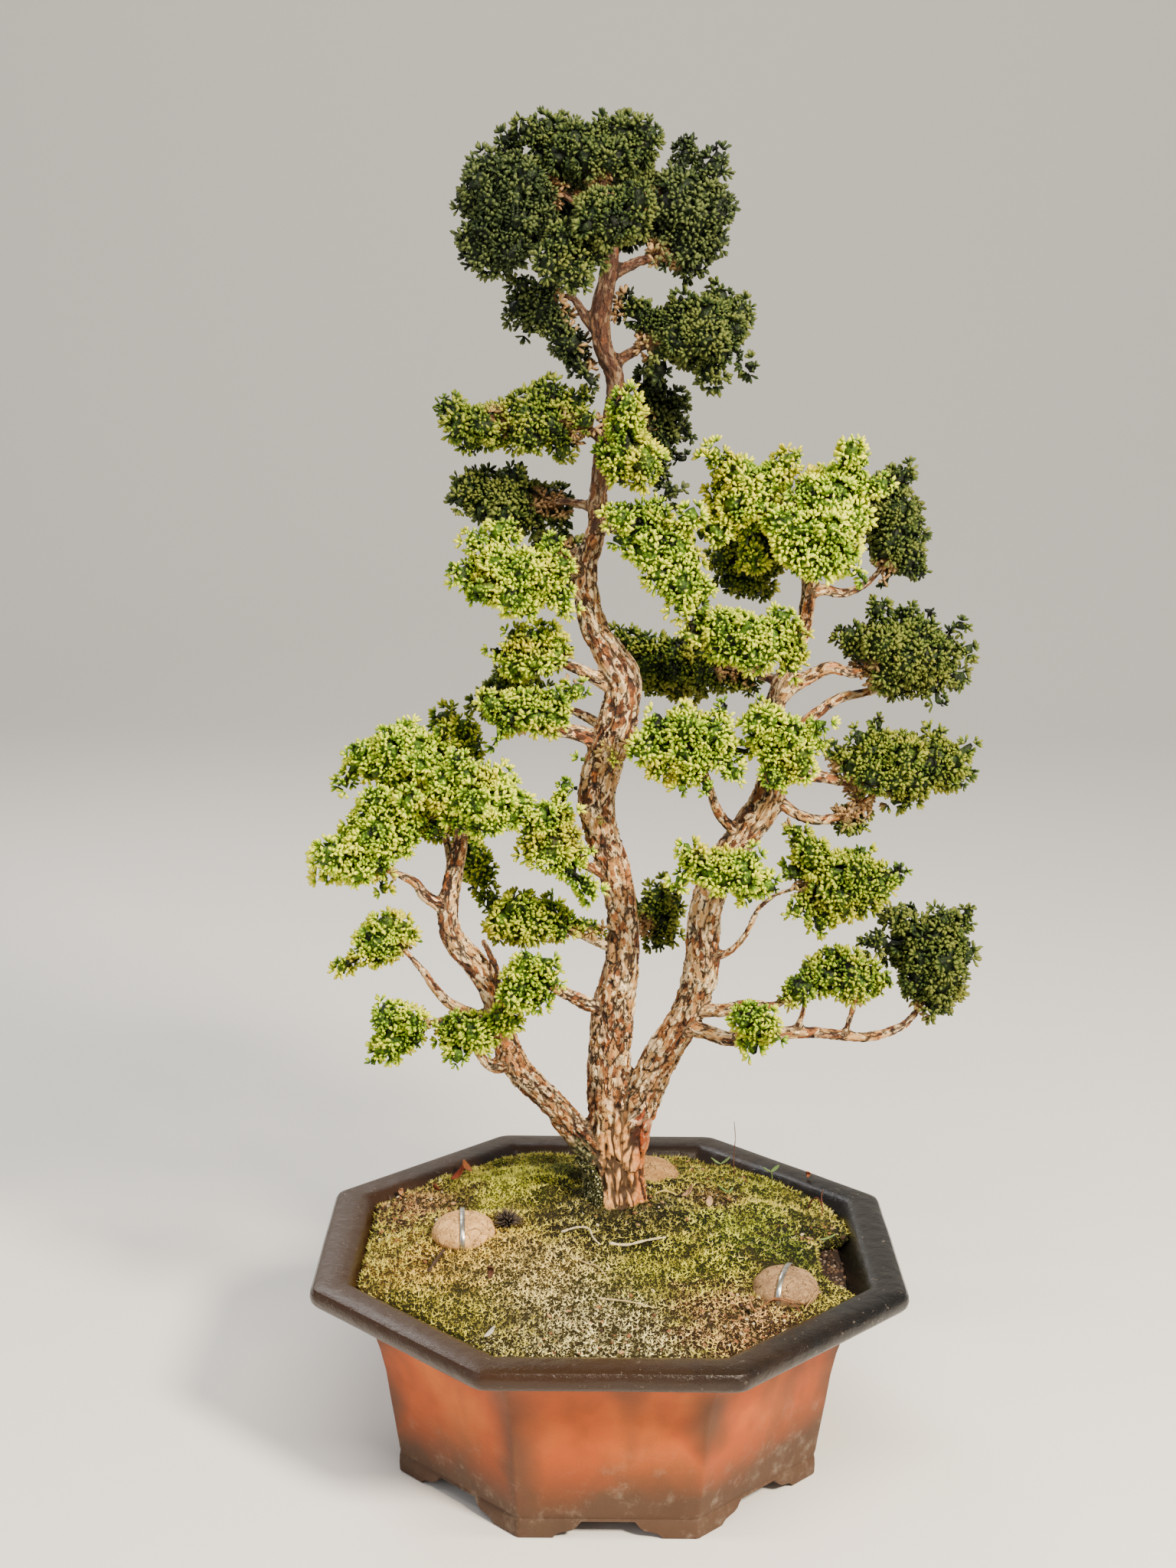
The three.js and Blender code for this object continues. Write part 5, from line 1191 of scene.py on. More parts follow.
def mossTree():  # mounds and cushions, then shoots wherever the moss faces up
    put, source, sink = groupTree(
        "moss shoots", Kinds="Collection", Spacing=0.0035, Small=0.7, Large=1.4, Wave_Height=0.003, Grain_Height=0.001,
        Rise=1.0, Steepest=0.3, Seed=0, Material="Material",
    )
    spot = put("InputPosition")
    sway = put("TexNoise", {"Vector": spot}, size=26)
    sway = put("Math", [sway, 0.5], "SUBTRACT")
    height = put("TexNoise", {"Vector": spot, "Detail": 1}, size=moss["wave"])
    height = put("Math", [put("Math", [height, 0.45], "SUBTRACT"), source["Wave Height"]], "MULTIPLY")
    for name, patch in mossPatches.items():
        if patch[3]:
            mask = patchMask(put, spot, name, sway)
            mask = put("Math", [mask, source["Rise"]], "MULTIPLY")
            height = put("Math", [mask, patch[3] * mm, height], "MULTIPLY_ADD")
    grain = put("TexNoise", {"Vector": spot, "Roughness": 0.6}, size=moss["grain"])
    height = put("Math", [grain, source["Grain Height"], height], "MULTIPLY_ADD")
    normal = put("InputNormal")
    upward = put("SeparateXYZ", [normal], out=2)
    facing = put("MapRange", [upward, source["Steepest"], 0.75], "SMOOTHSTEP")
    height = put("Math", [height, facing], "MULTIPLY")
    lift = put("CombineXYZ", {"Z": height})
    raised = put("SetPosition", {"Geometry": source["Geometry"], "Offset": lift})
    grows = put("Compare", [upward, source["Steepest"]], "GREATER_THAN")
    points = scattered(put, source, raised, 6.0, grows)
    tone = put("RandomValue", {"Min": 0.0, "Max": 1.0, "Seed": source["Seed"]})
    named = put("StoreNamedAttribute", {"Geometry": points["Points"], "Name": "tone", "Value": tone})
    turned = put("RandomValue", {
        "Min": (-0.4, -0.4, 0.0), "Max": (0.4, 0.4, 2 * math.pi), "Seed": source["Seed"],
    }, "FLOAT_VECTOR")
    aimed = put("RotateRotation", [
        points["Rotation"], put("EulerToRotation", [turned]),
    ], rotation_space="LOCAL")
    placed = planted(put, source, named, aimed)
    return closeTree(put, sink, put("JoinGeometry", [[placed, raised]]), source["Material"])


def speckled(put, spot, tip):  # crowded shoot ends on the moss between the larger shoots, 0 in their gaps
    speck = put("SeparateXYZ", [put("TexVoronoi", {"Vector": spot}, out="Color", size=moss["speck"])])
    edge = put("TexVoronoi", {"Vector": spot}, "DISTANCE_TO_EDGE", size=moss["speck"])
    edge = put("MapRange", [edge, 0.03, 0.22], "SMOOTHSTEP")
    ground = put("Math", [speck, edge], "MULTIPLY")
    bare = put("MapRange", [tip, 0.0, 0.12, 1.0, 0.0])
    return put("Math", [ground, bare], "MULTIPLY")


# Cushion moss: matt and soft, straw-tipped where it is dry and fresh green where it is damp
def makeMoss():
    material, put, shader = newMaterial("cushion moss", Roughness=0.9, Specular_IOR_Level=0.15)
    tip, tone = (put("Attribute", out="Fac", attribute_name=name) for name in ("tip", "tone"))
    spot = put("TexCoord", out="Object")
    sway = put("TexNoise", {"Vector": spot, "Detail": 5, "Roughness": 0.75}, size=26)
    sway = put("Math", [tone, 0.3, sway], "MULTIPLY_ADD")  # shoots of two patches mingle at their edge
    sway = put("Math", [sway, 0.65], "SUBTRACT")
    dark, light = moss["dark"], moss["light"]
    for name, patch in mossPatches.items():
        mask = patchMask(put, spot, name, sway)
        dark = put("Mix", [mask, dark, patch[4]])
        light = put("Mix", [mask, light, patch[5]])
    ground = speckled(put, spot, tip)
    level = put("Math", [tone, 1.0, -0.4], "MULTIPLY_ADD")
    level = put("Math", [tip, 0.75, level], "MULTIPLY_ADD")
    level = put("Math", [ground, 1.2, level], "MULTIPLY_ADD")
    level = put("MapRange", [level, 0.0, 1.0], "SMOOTHSTEP")
    # painted shade: the gaps between the shoots and between shoot ends darken towards near black
    pit = put("Math", [tip, ground], "ADD")
    pit = put("MapRange", [pit, 0.05, 0.4, 0.85, 0.0])
    shaded = put("Mix", [pit, dark, "#0E0C05"])
    colour = put("Mix", [level, shaded, light])
    fleck = put("Math", [tone, tip], "MULTIPLY")
    fleck = put("MapRange", [fleck, 0.72, 0.92, 0.0, 0.8], "SMOOTHSTEP")
    colour = put("Mix", [fleck, colour, moss["fleck"]])
    # painted shade: the hollows between the cushions are darker
    shadedHollow = put("TexNoise", {"Vector": spot, "Detail": 3, "Roughness": 0.6}, size=moss["wave"])
    shadedHollow = put("MapRange", [shadedHollow, 0.52, 0.36, 0.0, 0.65], "SMOOTHSTEP")
    colour = put("Mix", [shadedHollow, colour, "#2A2410"])
    wire(put, shader, colour, None, ground, 1.2 * mm)
    return material


# The dark moss that climbs the trunk: dull olive in near black, with pale lichen specks
def makeTrunkMoss():
    material, put, shader = newMaterial("dark trunk moss", Roughness=0.9, Specular_IOR_Level=0.15)
    tip, tone = (put("Attribute", out="Fac", attribute_name=name) for name in ("tip", "tone"))
    ground = speckled(put, put("TexCoord", out="Object"), tip)
    level = put("Math", [tip, tone, ground], "MULTIPLY_ADD")
    colour = put("ValToRGB", [level], stops=[(0.02, "#16180C"), (0.26, "#42441E"), (0.55, "#787444"), (0.9, "#D8D2A8")])
    wire(put, shader, colour, None, ground, 1.2 * mm)
    return material


def growMoss(piece, material, spacing, waveHeight, grainHeight, rise, steepest, size, seed):
    useTree(piece, mossShoots, Kinds=shootKinds, Spacing=spacing * mm, Small=moss["shootSmall"] * size,
            Large=moss["shootLarge"] * size, Wave_Height=waveHeight * mm, Grain_Height=grainHeight * mm, Rise=rise,
            Steepest=steepest, Seed=seed, Material=material)
    return applied(piece)


shootKinds = kindsOf("shoot_", [shootMesh("shoot_" + str(i), i + 20) for i in range(3)])
mossShoots = mossTree()
mossPiece = welded(meshCopy("moss_carpet", "moss_cushions"), moss["voxel"])
growMoss(mossPiece, makeMoss(), moss["shootSpacing"], waveHeight=moss["waveHeight"], grainHeight=moss["grainHeight"],
         rise=1.0, steepest=-0.2, size=1.0, seed=5)
finish(mossPiece, "moss", "moss_carpet")
print("moss made,", triangles(mossPiece), "triangles")

sleeve = welded(meshCopy("moss_sleeve", "trunk_moss"), moss["sleeveVoxel"])
growMoss(sleeve, makeTrunkMoss(), moss["sleeveSpacing"], waveHeight=0, grainHeight=0,
         rise=0.0, steepest=-0.95, size=0.75, seed=6)
finish(sleeve, "trunk_moss", "moss_sleeve")
dropKinds(shootKinds)
print("trunk moss made,", triangles(sleeve), "triangles")


cake = {
    "radius": 22.5, "height": 18, "edge": 4, "round": 0.8, "rings": 22, "segments": 64, "lump": 0.9, "crumb": 0.35,
    "sunk": {"back": 4},  # mm, apart from the roundness and the counts
    "places": {"left": (-101, -6), "right": (117, -78), "back": (31, 112)},
    "tints": {"left": ("#9A7040", "#E2B276"), "right": ("#6E523A", "#A8865E"), "back": ("#8A6238", "#BE925C")},
}


def cakePiece(side):  # a pressed cake: a low dome with a soft edge, its underside flat
    x, y = cake["places"][side]
    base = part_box("fertiliser_cake_" + side)[0].z / mm - cake["sunk"].get(side, 0)
    edge = cake["edge"]
    profile = [(0, 0), (cake["radius"] - 3, 0), (cake["radius"] - 0.8, 1.4), (cake["radius"], edge)]
    for i in range(1, cake["rings"] + 1):
        angle = math.pi / 2 * i / cake["rings"]
        radius = cake["radius"] * math.cos(angle) ** cake["round"]
        profile.append((radius, edge + (cake["height"] - edge) * math.sin(angle)))
    places = []
    for ring, (radius, height) in enumerate(profile):
        for i in range(cake["segments"]):
            angle = 2 * math.pi * i / cake["segments"]
            spot = Vector((radius * math.cos(angle), radius * math.sin(angle), height))
            seed = Vector((x, y, 0))
            swell = cake["lump"] * noise.noise(spot / 9 + seed) + cake["crumb"] * noise.noise(spot / 2.6 + seed)
            spot += spot.normalized() * swell * min(1, radius / 6) if ring else Vector()
            places.append((spot.x * mm + x * mm + potX, (spot.y + y) * mm, (spot.z + base) * mm))
    faces = ringFaces(len(profile), cake["segments"])
    piece = newPiece("cake_" + side, outward(fromFaces("cake_" + side, places, faces)))
    piece.data.materials.append(makeCake(side))
    return finish(piece, "cake", "fertiliser_cake_" + side)


# Pressed rapeseed cake: dry, matt and crumbly, with a few short cracks and paler fibres
def makeCake(side):
    dark, light = cake["tints"][side]
    material, put, shader = newMaterial("pressed seed cake " + side, Roughness=0.95, Specular_IOR_Level=0.2)
    spot = put("TexCoord", out="Object")
    cloud = put("TexNoise", {"Vector": spot, "Detail": 4, "Roughness": 0.6}, size=9)
    crumb = put("TexNoise", {"Vector": spot, "Detail": 3, "Roughness": 0.7}, size=1.4)
    warp = put("TexNoise", {"Vector": spot, "Detail": 3, "Roughness": 0.6}, out="Color", size=6)
    cracked = put("VectorMath", [spot, (105.0, 105.0, 105.0), warp], "MULTIPLY_ADD")
    crack = put("TexVoronoi", {"Vector": cracked, "Scale": 1.0}, "DISTANCE_TO_EDGE")
    crack = put("MapRange", [crack, 0.045, 0.0], "SMOOTHSTEP")
    some = put("MapRange", [cloud, 0.42, 0.55], "SMOOTHSTEP")
    crack = put("Math", [crack, some], "MULTIPLY")
    level = put("Math", [put("Math", [cloud, crumb], "ADD"), 0.5], "MULTIPLY")
    colour = put("ValToRGB", [level], stops=[(0.38, dark), (0.58, light)])
    fibre = put("TexNoise", {"Vector": spot, "Roughness": 0.6, "Distortion": 1.5}, size=(1.0, 5.0, 2.0))
    fibre = put("MapRange", [fibre, 0.66, 0.72, 0.0, 0.6], "SMOOTHSTEP")
    colour = put("Mix", [fibre, colour, "#DCC7A4"])
    colour = put("Mix", [put("Math", [crack, 0.8], "MULTIPLY"), colour, "#3A2A1C"])
    relief = put("Math", [crumb, crack], "SUBTRACT")
    wire(put, shader, colour, None, relief, 0.5 * mm)
    return material


pin = {
    "width": 3.4, "thick": 0.9, "bevel": 0.3, "leg": 22, "clear": 0.6,  # mm
    "turns": {"left": (-102, -6, 0.06), "right": (117, -78, -0.3)},
}


def pinPiece(side, metal):  # a flat strip bent over the cake, both legs in the soil
    x, y, turned = pin["turns"][side]
    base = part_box("fertiliser_cake_" + side)[0].z / mm
    out, top = cake["radius"] + pin["clear"] + 0.6, cake["height"] + pin["clear"] + 0.8
    half = [(out, -pin["leg"]), (out, -8), (out, 2), (out - 0.5, 6)]
    edge, rise = cake["edge"], top - cake["edge"]
    angles = [math.pi / 2 * i / 14 for i in range(3, 14)]
    half += [(out * math.cos(a) ** cake["round"], edge + rise * math.sin(a)) for a in angles]
    path = half + [(0, top)] + [(-u, v) for u, v in reversed(half)]
    places = []
    w, t, bevel = pin["width"] / 2, pin["thick"] / 2, pin["bevel"]
    section = [(w - bevel, t), (w, t - bevel), (w, bevel - t), (w - bevel, -t)]
    section += [(-a, -b) for a, b in section]
    direction, across = Vector((-math.sin(turned), math.cos(turned), 0)), Vector((math.cos(turned), math.sin(turned), 0))
    for i, (u, v) in enumerate(path):
        before, after = path[max(i - 1, 0)], path[min(i + 1, len(path) - 1)]
        along = Vector((after[0] - before[0], after[1] - before[1])).normalized()
        narrow = 0.55 + 0.45 * min(1, min(i, len(path) - 1 - i) / 3)
        for a, b in section:
            spot = Vector((x, y, base)) + direction * (u - along.y * b) + Vector((0, 0, v + along.x * b))
            spot += across * a * narrow
            places.append((spot.x * mm + potX, spot.y * mm, spot.z * mm))
    faces = ringFaces(len(path), 8) + [tuple(range(8)), tuple(range(len(places) - 8, len(places)))]
    piece = newPiece("pin_" + side, outward(fromFaces("pin_" + side, places, faces)))
    piece.data.materials.append(metal)
    return finish(piece, "pin_metal", "cake_pin_" + side)


# Spring steel strip: bright rolled metal with fine lengthwise scratches and a little weathering
def makePinMetal():
    material, put, shader = newMaterial("rolled steel strip", Metallic=1.0, Base_Color="#C9C7C0")
    spot = put("TexCoord", out="Object")
    scratch = put("TexNoise", {"Vector": spot, "Detail": 3, "Roughness": 0.7}, size=(0.6, 8, 8))
    dull = put("TexNoise", {"Vector": spot, "Detail": 3, "Roughness": 0.6}, size=5)
    colour = put("ValToRGB", [dull], stops=[(0.4, "#D6D4CE"), (0.62, "#9B978C"), (0.75, "#6F6353")])
    rough = put("MapRange", [dull, 0.35, 0.7, 0.22, 0.5])
    wire(put, shader, colour, rough, scratch, 0.05 * mm)
    return material


pinMetal = makePinMetal()
for side in cake["places"]:
    cakePiece(side)
for side in pin["turns"]:
    pinPiece(side, pinMetal)
print("cakes and pins made")


tuft = {"x": -71, "y": 3, "lift": 10, "spikes": 150, "length": 13, "width": 0.6, "bend": 1.6, "turn": 2.39996}  # golden angle


def tuftPiece():  # a dead tuft: thin dry spikes spread from one root
    low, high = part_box("dark_tuft")
    pick = random.Random(3)
    middle = Vector((tuft["x"], tuft["y"], low.z / mm + tuft["lift"]))
    places, faces, tips = [], [], []
    for i in range(tuft["spikes"]):
        tilt, turned = math.acos(1 - (i + 0.5) / tuft["spikes"]) * 1.05, i * tuft["turn"]
        direction, side, up = heading(tilt, turned)
        bend = Vector((pick.uniform(-1, 1), pick.uniform(-1, 1), pick.uniform(-0.6, 1))) * tuft["bend"]
        length = tuft["length"] * pick.uniform(0.6, 1.05)
        first = len(places)
        for share, width in ((0.15, 1.2), (0.6, 0.8)):
            for corner in range(3):
                angle = 2 * math.pi * corner / 3
                rim = (side * math.cos(angle) + up * math.sin(angle)) * tuft["width"] * width
                places.append(middle + direction * length * share + bend * share * share + rim)
                tips.append(share)
        places.append(middle + direction * length + bend)
        tips.append(1.0)
        for corner in range(3):
            after = (corner + 1) % 3
            faces.append((first + corner, first + after, first + 3 + after, first + 3 + corner))
            faces.append((first + 3 + corner, first + 3 + after, first + 6))
        faces.append((first + 2, first + 1, first))
    places = [(spot.x * mm + potX, spot.y * mm, spot.z * mm) for spot in places]
    mesh = fromFaces("dead_tuft", places, faces, tips)
    material, put, shader = newMaterial("dry black moss", Roughness=0.85)
    tip = put("Attribute", out="Fac", attribute_name="tip")
    wire(put, shader, put("ValToRGB", [tip], stops=[(0.2, "#17120F"), (0.7, "#33281F"), (1.0, "#75604A")]))
    mesh.materials.append(material)
    return finish(newPiece("dead_tuft", mesh), "dark_moss", "dark_tuft")


tuftPiece()
print("tuft made")


# Loose things on the moss. Threads run through x, y and height above the moss in mm, after the radii of their two ends.
litter = {
    "threads": {
        "paleTwig": ("#DCCBA2", 1.2, 0.7, (0, -37, 1), (12, -36, 2), (25, -34, 2.4), (39, -32, 1.5)),
        "curlA": ("#D8C8A0", 0.9, 0.6, (-33, -18, 1), (-22, -17, 3), (-14, -22, 3.5), (-11, -31, 2), (-6, -39, 1)),
        "rootA": ("#C9AE7C", 0.8, 0.35, (-24, -54, 0.5), (-15, -64, 2), (-8, -70, 2), (-1, -84, 1)),
        "rootB": ("#CDB584", 0.8, 0.35, (-8, -108, 1), (4, -111, 2.5), (15, -116, 2), (30, -118, 1)),
        "strawA": ("#D9C070", 0.9, 0.5, (34, 52, 1), (41, 53, 2.5), (50, 51, 2)),
        "darkStick": ("#43342A", 1.5, 1.0, (-122, -56, 0), (-118, -46, 4), (-113, -36, 6)),
        "fibreA": ("#8A5B38", 0.7, 0.3, (98, -106, 0), (108, -102, 5), (120, -104, 6), (130, -98, 1)),
        "fibreB": ("#74482C", 0.6, 0.3, (104, -96, 0), (110, -105, 6), (121, -108, 5), (126, -112, 0)),
        "fibreC": ("#A9835A", 0.6, 0.3, (128, -104, 0), (134, -94, 5), (140, -88, 7), (142, -80, 3)),
        "grassA": ("#B59A5A", 0.6, 0.3, (-122, -36, 0), (-128, -44, 5), (-136, -47, 8)),
        "seedStalk": ("#6F4A38", 0.45, 0.3, (96, 122, 0), (95, 122, 14), (96, 123, 28), (95, 123, 42)),
        "sprout": ("#7A4A38", 0.5, 0.3, (154, 50, 0), (155, 50, 8), (154, 51, 16), (155, 50, 22)),
        "edgeRootA": ("#5B3426", 0.8, 0.4, (146, 62, 0), (148, 60, 8), (152, 56, 12), (156, 52, 6)),
        "edgeRootB": ("#6A4030", 0.7, 0.4, (158, -12, 0), (156, -22, 4), (152, -30, 5), (148, -36, 1)),
        "edgeRootC": ("#56352A", 0.7, 0.4, (163, 2, 0), (160, -8, 4), (154, -14, 4), (150, -20, 1)),
        "seedling": ("#7F8E44", 0.45, 0.35, (122, 96, 0), (122, 96, 6), (121, 95, 11)),
    },
    "leaves": {  # length, width, turn and lift in degrees, curl, then x, y and height
        "redLeafA": ("#8A3A1E", 15, 9, 20, 5, 1.6, (-116, 90, 3)),
        "redLeafB": ("#9A5A34", 12, 7, 150, 0, 1.8, (-102, 118, 4)),
        "redLeafC": ("#6E3A26", 11, 6, 240, 5, 1.8, (-124, 84, 2)), "curlB": ("#5E3C2C", 13, 5, 70, 25, 3.0, (-80, -79, 2)),
        "paleLeafA": ("#C39A70", 13, 7, 10, 8, 1.6, (53, 50, 2)), "paleLeafB": ("#C7A078", 9, 5, 80, 10, 1.8, (72, 36, 2)),
        "palePiece": ("#DCD3BC", 10, 4, 35, 5, 1.2, (-80, -150, 2)),
        "tanPiece": ("#C08A5C", 10, 6, 200, 12, 1.8, (96, -112, 2)),
        "mintLeafA": ("#7FA85A", 11, 6, 200, 15, 1.0, (88, 66, 3)), "mintLeafB": ("#8DB060", 9, 5, 320, 25, 1.0, (86, 62, 3)),
        "greenLeaf": ("#8FA860", 14, 5, -30, 10, 0.8, (147, -4, 3)),
        "seedLeafA": ("#86A45C", 8, 4.5, 200, 20, 0.6, (121, 95, 11)),
        "seedLeafB": ("#7C9A54", 8, 4.5, 20, 20, 0.6, (121, 95, 11)), "frondA": ("#7F9A5A", 9, 4, 180, 15, 0.8, (86, 132, 5)),
        "frondB": ("#8BA262", 9, 4, 0, 20, 0.8, (86, 132, 5)), "rimCurl": ("#A05F40", 8, 4, 60, 30, 3.2, (150, 111, 1)),
        "sideCurl": ("#B9855A", 8, 4, 120, 30, 3.0, (-152, 82, 1)),
    },
    "crumb": 1.3, "crumbSmall": 0.6, "crumbLarge": 1.9,  # radius in mm, and shares of it
    "crumbKinds": ("#8A5A3A", "#5E3A26", "#B98C60", "#D6C49C", "#A9683F", "#3B2A20"),
    "crumbs": {  # x, y, reach and spacing in mm
        "leftEdge": (-148, 66, 42, 3.6), "frontRight": (92, -124, 46, 4.4), "front": (-10, -152, 70, 7.5),
        "foot": (18, 24, 44, 6.5), "rightEdge": (152, 4, 34, 4.5), "bare": (76, 56, 22, 4.2),
        "leftSide": (-156, 0, 60, 8), "back": (40, 150, 90, 9),
    },
}


def tinted(mesh, colours):
    flat = [channel for colour in colours for channel in linear(colour)]
    mesh.attributes.new("tint", "FLOAT_COLOR", "POINT").data.foreach_set("color", flat)
    return mesh


def onGround(x, y, lift):  # a place this high above whatever lies at x, y
    start = Vector((x * mm + potX, y * mm, 0.5))
    tops = [ground.ray_cast(start, Vector((0, 0, -1)))[0] for ground in grounds]
    return Vector((start.x, start.y, max(hit.z for hit in tops if hit) + lift * mm))


def threadFaces(points, first, last, places):  # a smooth tapering tube with six sides
    line = []
    for i in range(len(points) - 1):
        a, b, c, d = (points[min(max(i + k, 0), len(points) - 1)] for k in (-1, 0, 1, 2))
        for t in (0, 0.25, 0.5, 0.75):
            line.append(0.5 * (2 * b + (c - a) * t + (2 * a - 5 * b + 4 * c - d) * t * t + (3 * b - a - 3 * c + d) * t ** 3))
    line.append(points[-1])
    whole = (points[-1] - points[0]).normalized()
    level = Vector((1, 0, 0)) if abs(whole.z) > 0.7 else Vector((0, 0, 1))
    start = len(places)
    for i, spot in enumerate(line):
        along = (line[min(i + 1, len(line) - 1)] - line[max(i - 1, 0)]).normalized()
        side = along.cross(level).normalized()
        up = side.cross(along)
        radius = (first + (last - first) * i / (len(line) - 1)) * mm * (1 + 0.25 * math.sin(i * 2.1))
        places += [spot + (side * math.cos(k * math.pi / 3) + up * math.sin(k * math.pi / 3)) * radius for k in range(6)]
    ends = [tuple(range(start, start + 6)), tuple(range(len(places) - 6, len(places)))]
    return ringFaces(len(line), 6, start) + ends


def leafFaces(length, width, turn, lift, curl, spot, places):  # a thin dry leaf, curled along its length
    start = len(places)
    forward = Vector((math.cos(math.radians(turn)), math.sin(math.radians(turn)), 0))
    across = forward.cross(Vector((0, 0, 1)))
    here, angle = spot.copy(), math.radians(lift)
    for i in range(8):
        share = i / 7
        direction = forward * math.cos(angle) + Vector((0, 0, math.sin(angle)))
        up = across.cross(direction)
        half = width * mm / 2 * max(math.sin(math.pi * (0.04 + 0.92 * share)) ** 0.8, 0.08)
        for u, v in ((-1, 0.3), (-0.5, 0.06), (0, 0), (0.5, 0.06), (1, 0.3)):
            rim = here + across * u * half + up * v * half
            places += [rim + up * 0.2 * mm, rim - up * 0.2 * mm]
        here += direction * length * mm / 7
        angle += curl / 7
    faces = []
    for i in range(7):
        a, b = start + i * 10, start + i * 10 + 10
        for j in range(0, 8, 2):
            faces += [(a + j, a + j + 2, b + j + 2, b + j), (a + j + 3, a + j + 1, b + j + 1, b + j + 3)]
        faces += [(a + 1, a, b, b + 1), (a + 8, a + 9, b + 9, b + 8)]
    for end in (start, start + 70):
        faces += [(end + j, end + j + 1, end + j + 3, end + j + 2) for j in range(0, 8, 2)]
    return faces


def litterMesh():
    places, faces, colours = [], [], []
    for colour, first, last, *points in litter["threads"].values():
        faces += threadFaces([onGround(*point) for point in points], first, last, places)
        colours += [colour] * (len(places) - len(colours))
    for colour, length, width, turn, lift, curl, spot in litter["leaves"].values():
        faces += leafFaces(length, width, turn, lift, curl, onGround(*spot), places)
        colours += [colour] * (len(places) - len(colours))
    work = bmesh.new()
    work.from_mesh(tinted(fromFaces("loose_litter", places, faces), colours))
    bmesh.ops.recalc_face_normals(work, faces=work.faces)
    return toMesh("loose_litter", work)


def crumbMesh(name, colour, seed, reach):  # an angular crumb with twenty faces
    work = bmesh.new()
    bmesh.ops.create_icosphere(work, subdivisions=1, radius=reach * mm)
    pick = random.Random(seed)
    squash = Vector((pick.uniform(0.8, 1.3), pick.uniform(0.5, 0.9), pick.uniform(0.45, 0.8)))
    for vertex in work.verts:
        vertex.co = vertex.co * squash * pick.uniform(0.75, 1.15)
    mesh = toMesh(name, work)
    return tinted(mesh, [colour] * len(mesh.vertices))


def crumbTree():  # crumbs strewn on the ground within reach of a middle
    put, source, sink = groupTree(
        "strewn crumbs", Ground="Object", Kinds="Collection", Spacing=0.004, Small=0.6, Large=1.3, Reach=0.04, Middle_X=0.0,
        Middle_Y=0.0, Seed=0, Material="Material",
    )
    ground = put("ObjectInfo", {"Object": source["Ground"]}, out="Geometry")
    middle = put("CombineXYZ", [source["Middle X"], source["Middle Y"], 0.0])
    flat = put("VectorMath", [put("InputPosition"), (1.0, 1.0, 0.0)], "MULTIPLY")
    away = put("VectorMath", [flat, middle], "DISTANCE", out="Value")
    chance = put("RandomValue", {"Min": 0.35, "Max": 1.0, "Seed": source["Seed"]})
    reach = put("Math", [source["Reach"], chance], "MULTIPLY")
    near = put("Compare", [away, reach], "LESS_THAN")
    upward = put("SeparateXYZ", [put("InputNormal")], out=2)
    up = put("Compare", [upward, 0.3], "GREATER_THAN")
    points = scattered(put, source, ground, 3.0, put("BooleanMath", [near, up], "AND"))
    turned = put("RandomValue", {
        "Min": (-0.6, -0.6, 0.0), "Max": (0.6, 0.6, 2 * math.pi), "Seed": source["Seed"],
    }, "FLOAT_VECTOR")
    placed = planted(put, source, points["Points"], put("EulerToRotation", [turned]))
    return closeTree(put, sink, put("JoinGeometry", [[placed, source["Geometry"]]]), source["Material"])


# Dry leaves, twigs and soil grains: matt, each with its own tint, slightly mottled along its grain
def makeLitter(name, size):
    material, put, shader = newMaterial(name, Roughness=0.85, Specular_IOR_Level=0.2)
    tint = put("Attribute", out="Color", attribute_name="tint")
    spot = put("TexCoord", out="Object")
    mottle = put("TexNoise", {"Vector": spot, "Detail": 3, "Roughness": 0.65}, size=size)
    share = put("MapRange", [mottle, 0.35, 0.7, 0.0, 0.6])
    darker = put("Mix", [share, tint, "#2A1B12"])
    wire(put, shader, darker, None, mottle, 0.25 * mm)
    return material


def crumbKinds(name, colours, reach):
    return kindsOf(name, [crumbMesh(name + str(i), colour, i, reach) for i, colour in enumerate(colours)])


grounds = [
    BVHTree.FromPolygons([v.co for v in item.data.vertices], [f.vertices for f in item.data.polygons])
    for item in (mossPiece, potBody)
]
crumbs = crumbTree()
leafCrumbs = crumbKinds("crumb_", litter["crumbKinds"], litter["crumb"])
litterPiece = newPiece("loose_litter", litterMesh())
dryMaterial = makeLitter("dry leaves and twigs", 1.5)
for i, (x, y, reach, spacing) in enumerate(litter["crumbs"].values()):
    useTree(litterPiece, crumbs, Ground=mossPiece, Kinds=leafCrumbs, Spacing=spacing * mm, Small=litter["crumbSmall"],
            Large=litter["crumbLarge"], Reach=reach * mm, Middle_X=x * mm + potX, Middle_Y=y * mm, Seed=i,
            Material=dryMaterial)
applied(litterPiece)
finish(litterPiece, "bark")
print("litter made,", triangles(litterPiece), "triangles")


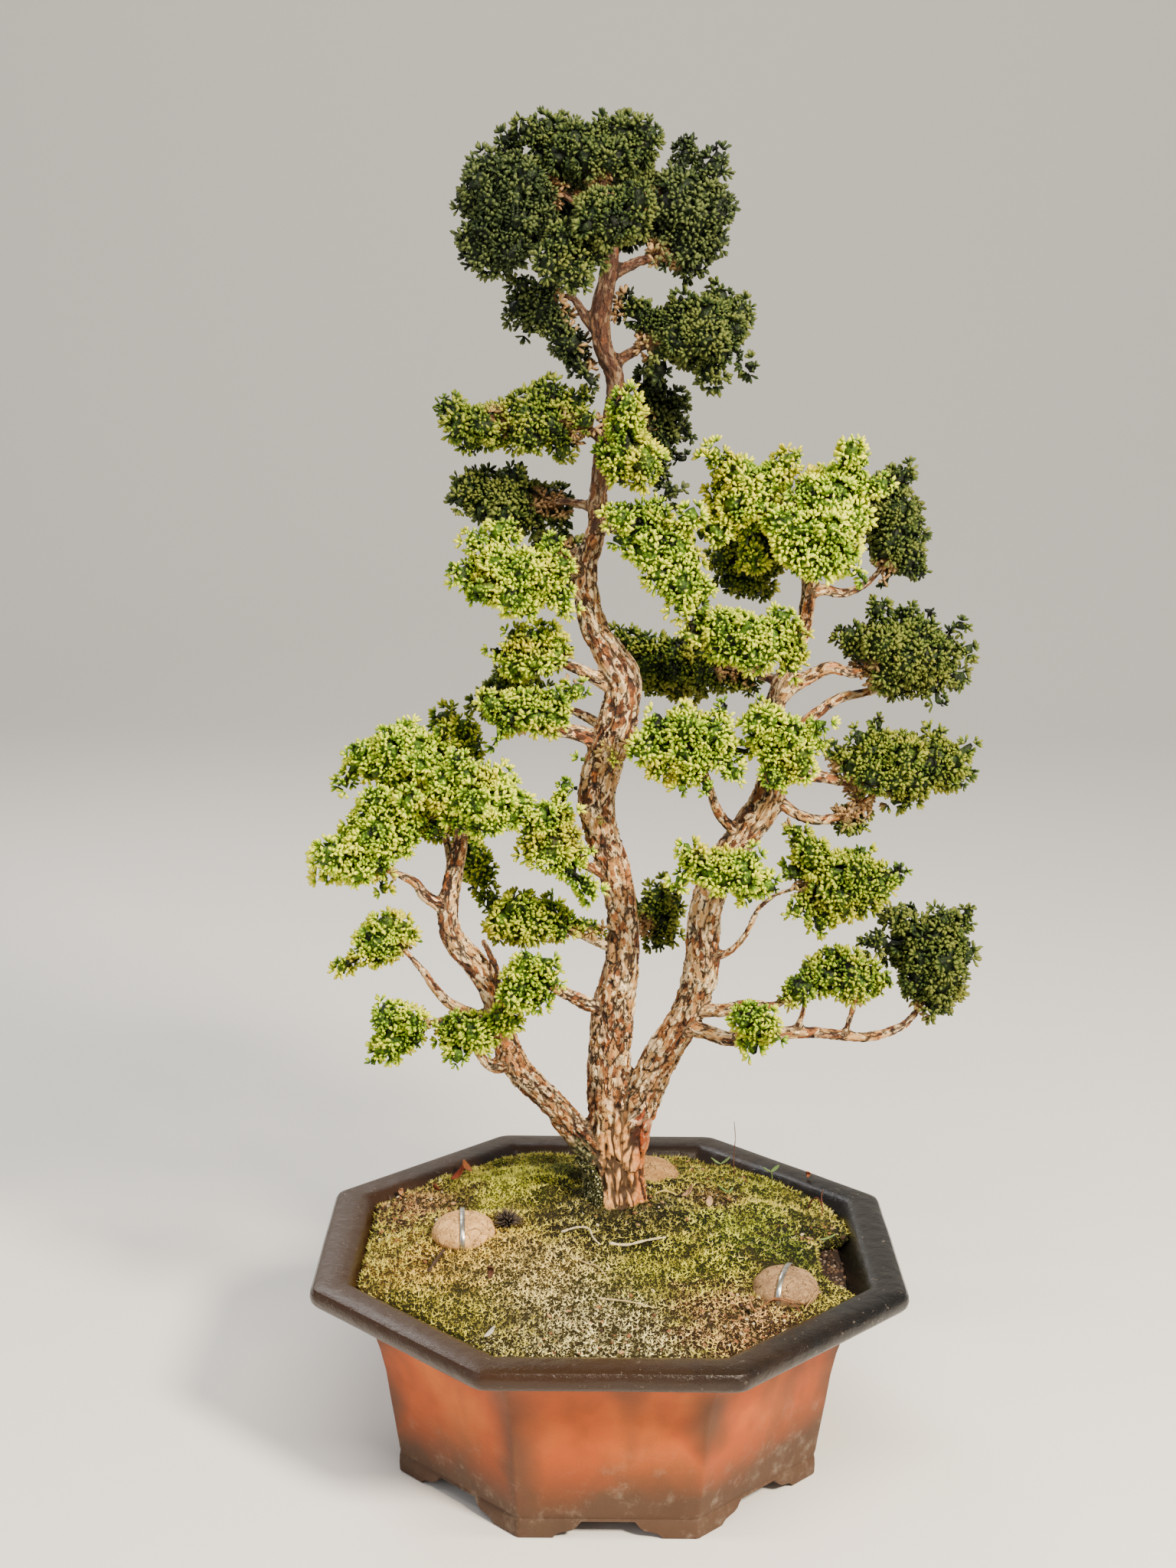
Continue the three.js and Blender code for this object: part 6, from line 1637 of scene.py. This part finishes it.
soil = {
    "spacing": 2.6, "grain": 1.7, "middle": (158, -24), "reach": 52,  # mm
    "small": 0.7, "large": 1.6,  # shares of the grain
    "kinds": ("#2E2119", "#483427", "#221A15", "#624C38", "#746454"),
}

# Potting mix: damp volcanic grains and bark, dark brown with a few pale pumice grains; its near-black darkness is
# partly painted shade in the hollow at the right rim
soilPiece = meshCopy("soil", "soil_mix")
tinted(soilPiece.data, ["#241A14"] * len(soilPiece.data.vertices))
soilGrains = crumbKinds("grain_", soil["kinds"], soil["grain"])
useTree(soilPiece, crumbs, Ground=nodes["soil"], Kinds=soilGrains, Spacing=soil["spacing"] * mm, Small=soil["small"],
        Large=soil["large"], Reach=soil["reach"] * mm, Middle_X=soil["middle"][0] * mm + potX,
        Middle_Y=soil["middle"][1] * mm, Seed=9, Material=makeLitter("damp potting mix", 3.0))
applied(soilPiece)
finish(soilPiece, "soil", "soil")
dropKinds(leafCrumbs)
dropKinds(soilGrains)
print("soil made,", triangles(soilPiece), "triangles")


# What lies unseen inside the pot keeps its shape: pumice, woven plastic mesh and bare aluminium wire
def makeInside(name, dark, light, size, depth, **surface):
    material, put, shader = newMaterial(name, **surface)
    spot = put("TexCoord", out="Object")
    grain = put("TexNoise", {"Vector": spot, "Detail": 4, "Roughness": 0.65}, size=size)
    colour = put("ValToRGB", [grain], stops=[(0.35, dark), (0.65, light)])
    rough = put("MapRange", [grain, 0.3, 0.7, surface["Roughness"] - 0.1, surface["Roughness"] + 0.1])
    wire(put, shader, colour, rough, grain, depth * mm)
    return material


pumice = makeInside("coarse pumice", "#6B5D4E", "#C4B8A4", 4.0, 1.2, Roughness=0.88)
meshPlastic = makeInside("moulded polypropylene mesh", "#15171A", "#25282B", 1.2, 0.05, Roughness=0.45)
bareWire = makeInside("drawn aluminium wire", "#8F8F8C", "#BDBDB9", (0.8, 6.0, 6.0), 0.04, Roughness=0.38, Metallic=1.0)
insides = {
    "drainage_layer": pumice, "drain_screen_left": meshPlastic, "drain_screen_right": meshPlastic,
    "screen_clip_left": bareWire, "screen_clip_right": bareWire, "tie_wire": bareWire,
}
for name, material in insides.items():
    for place in nodes[name].material_slots:
        place.material = material
print("inside materials set")
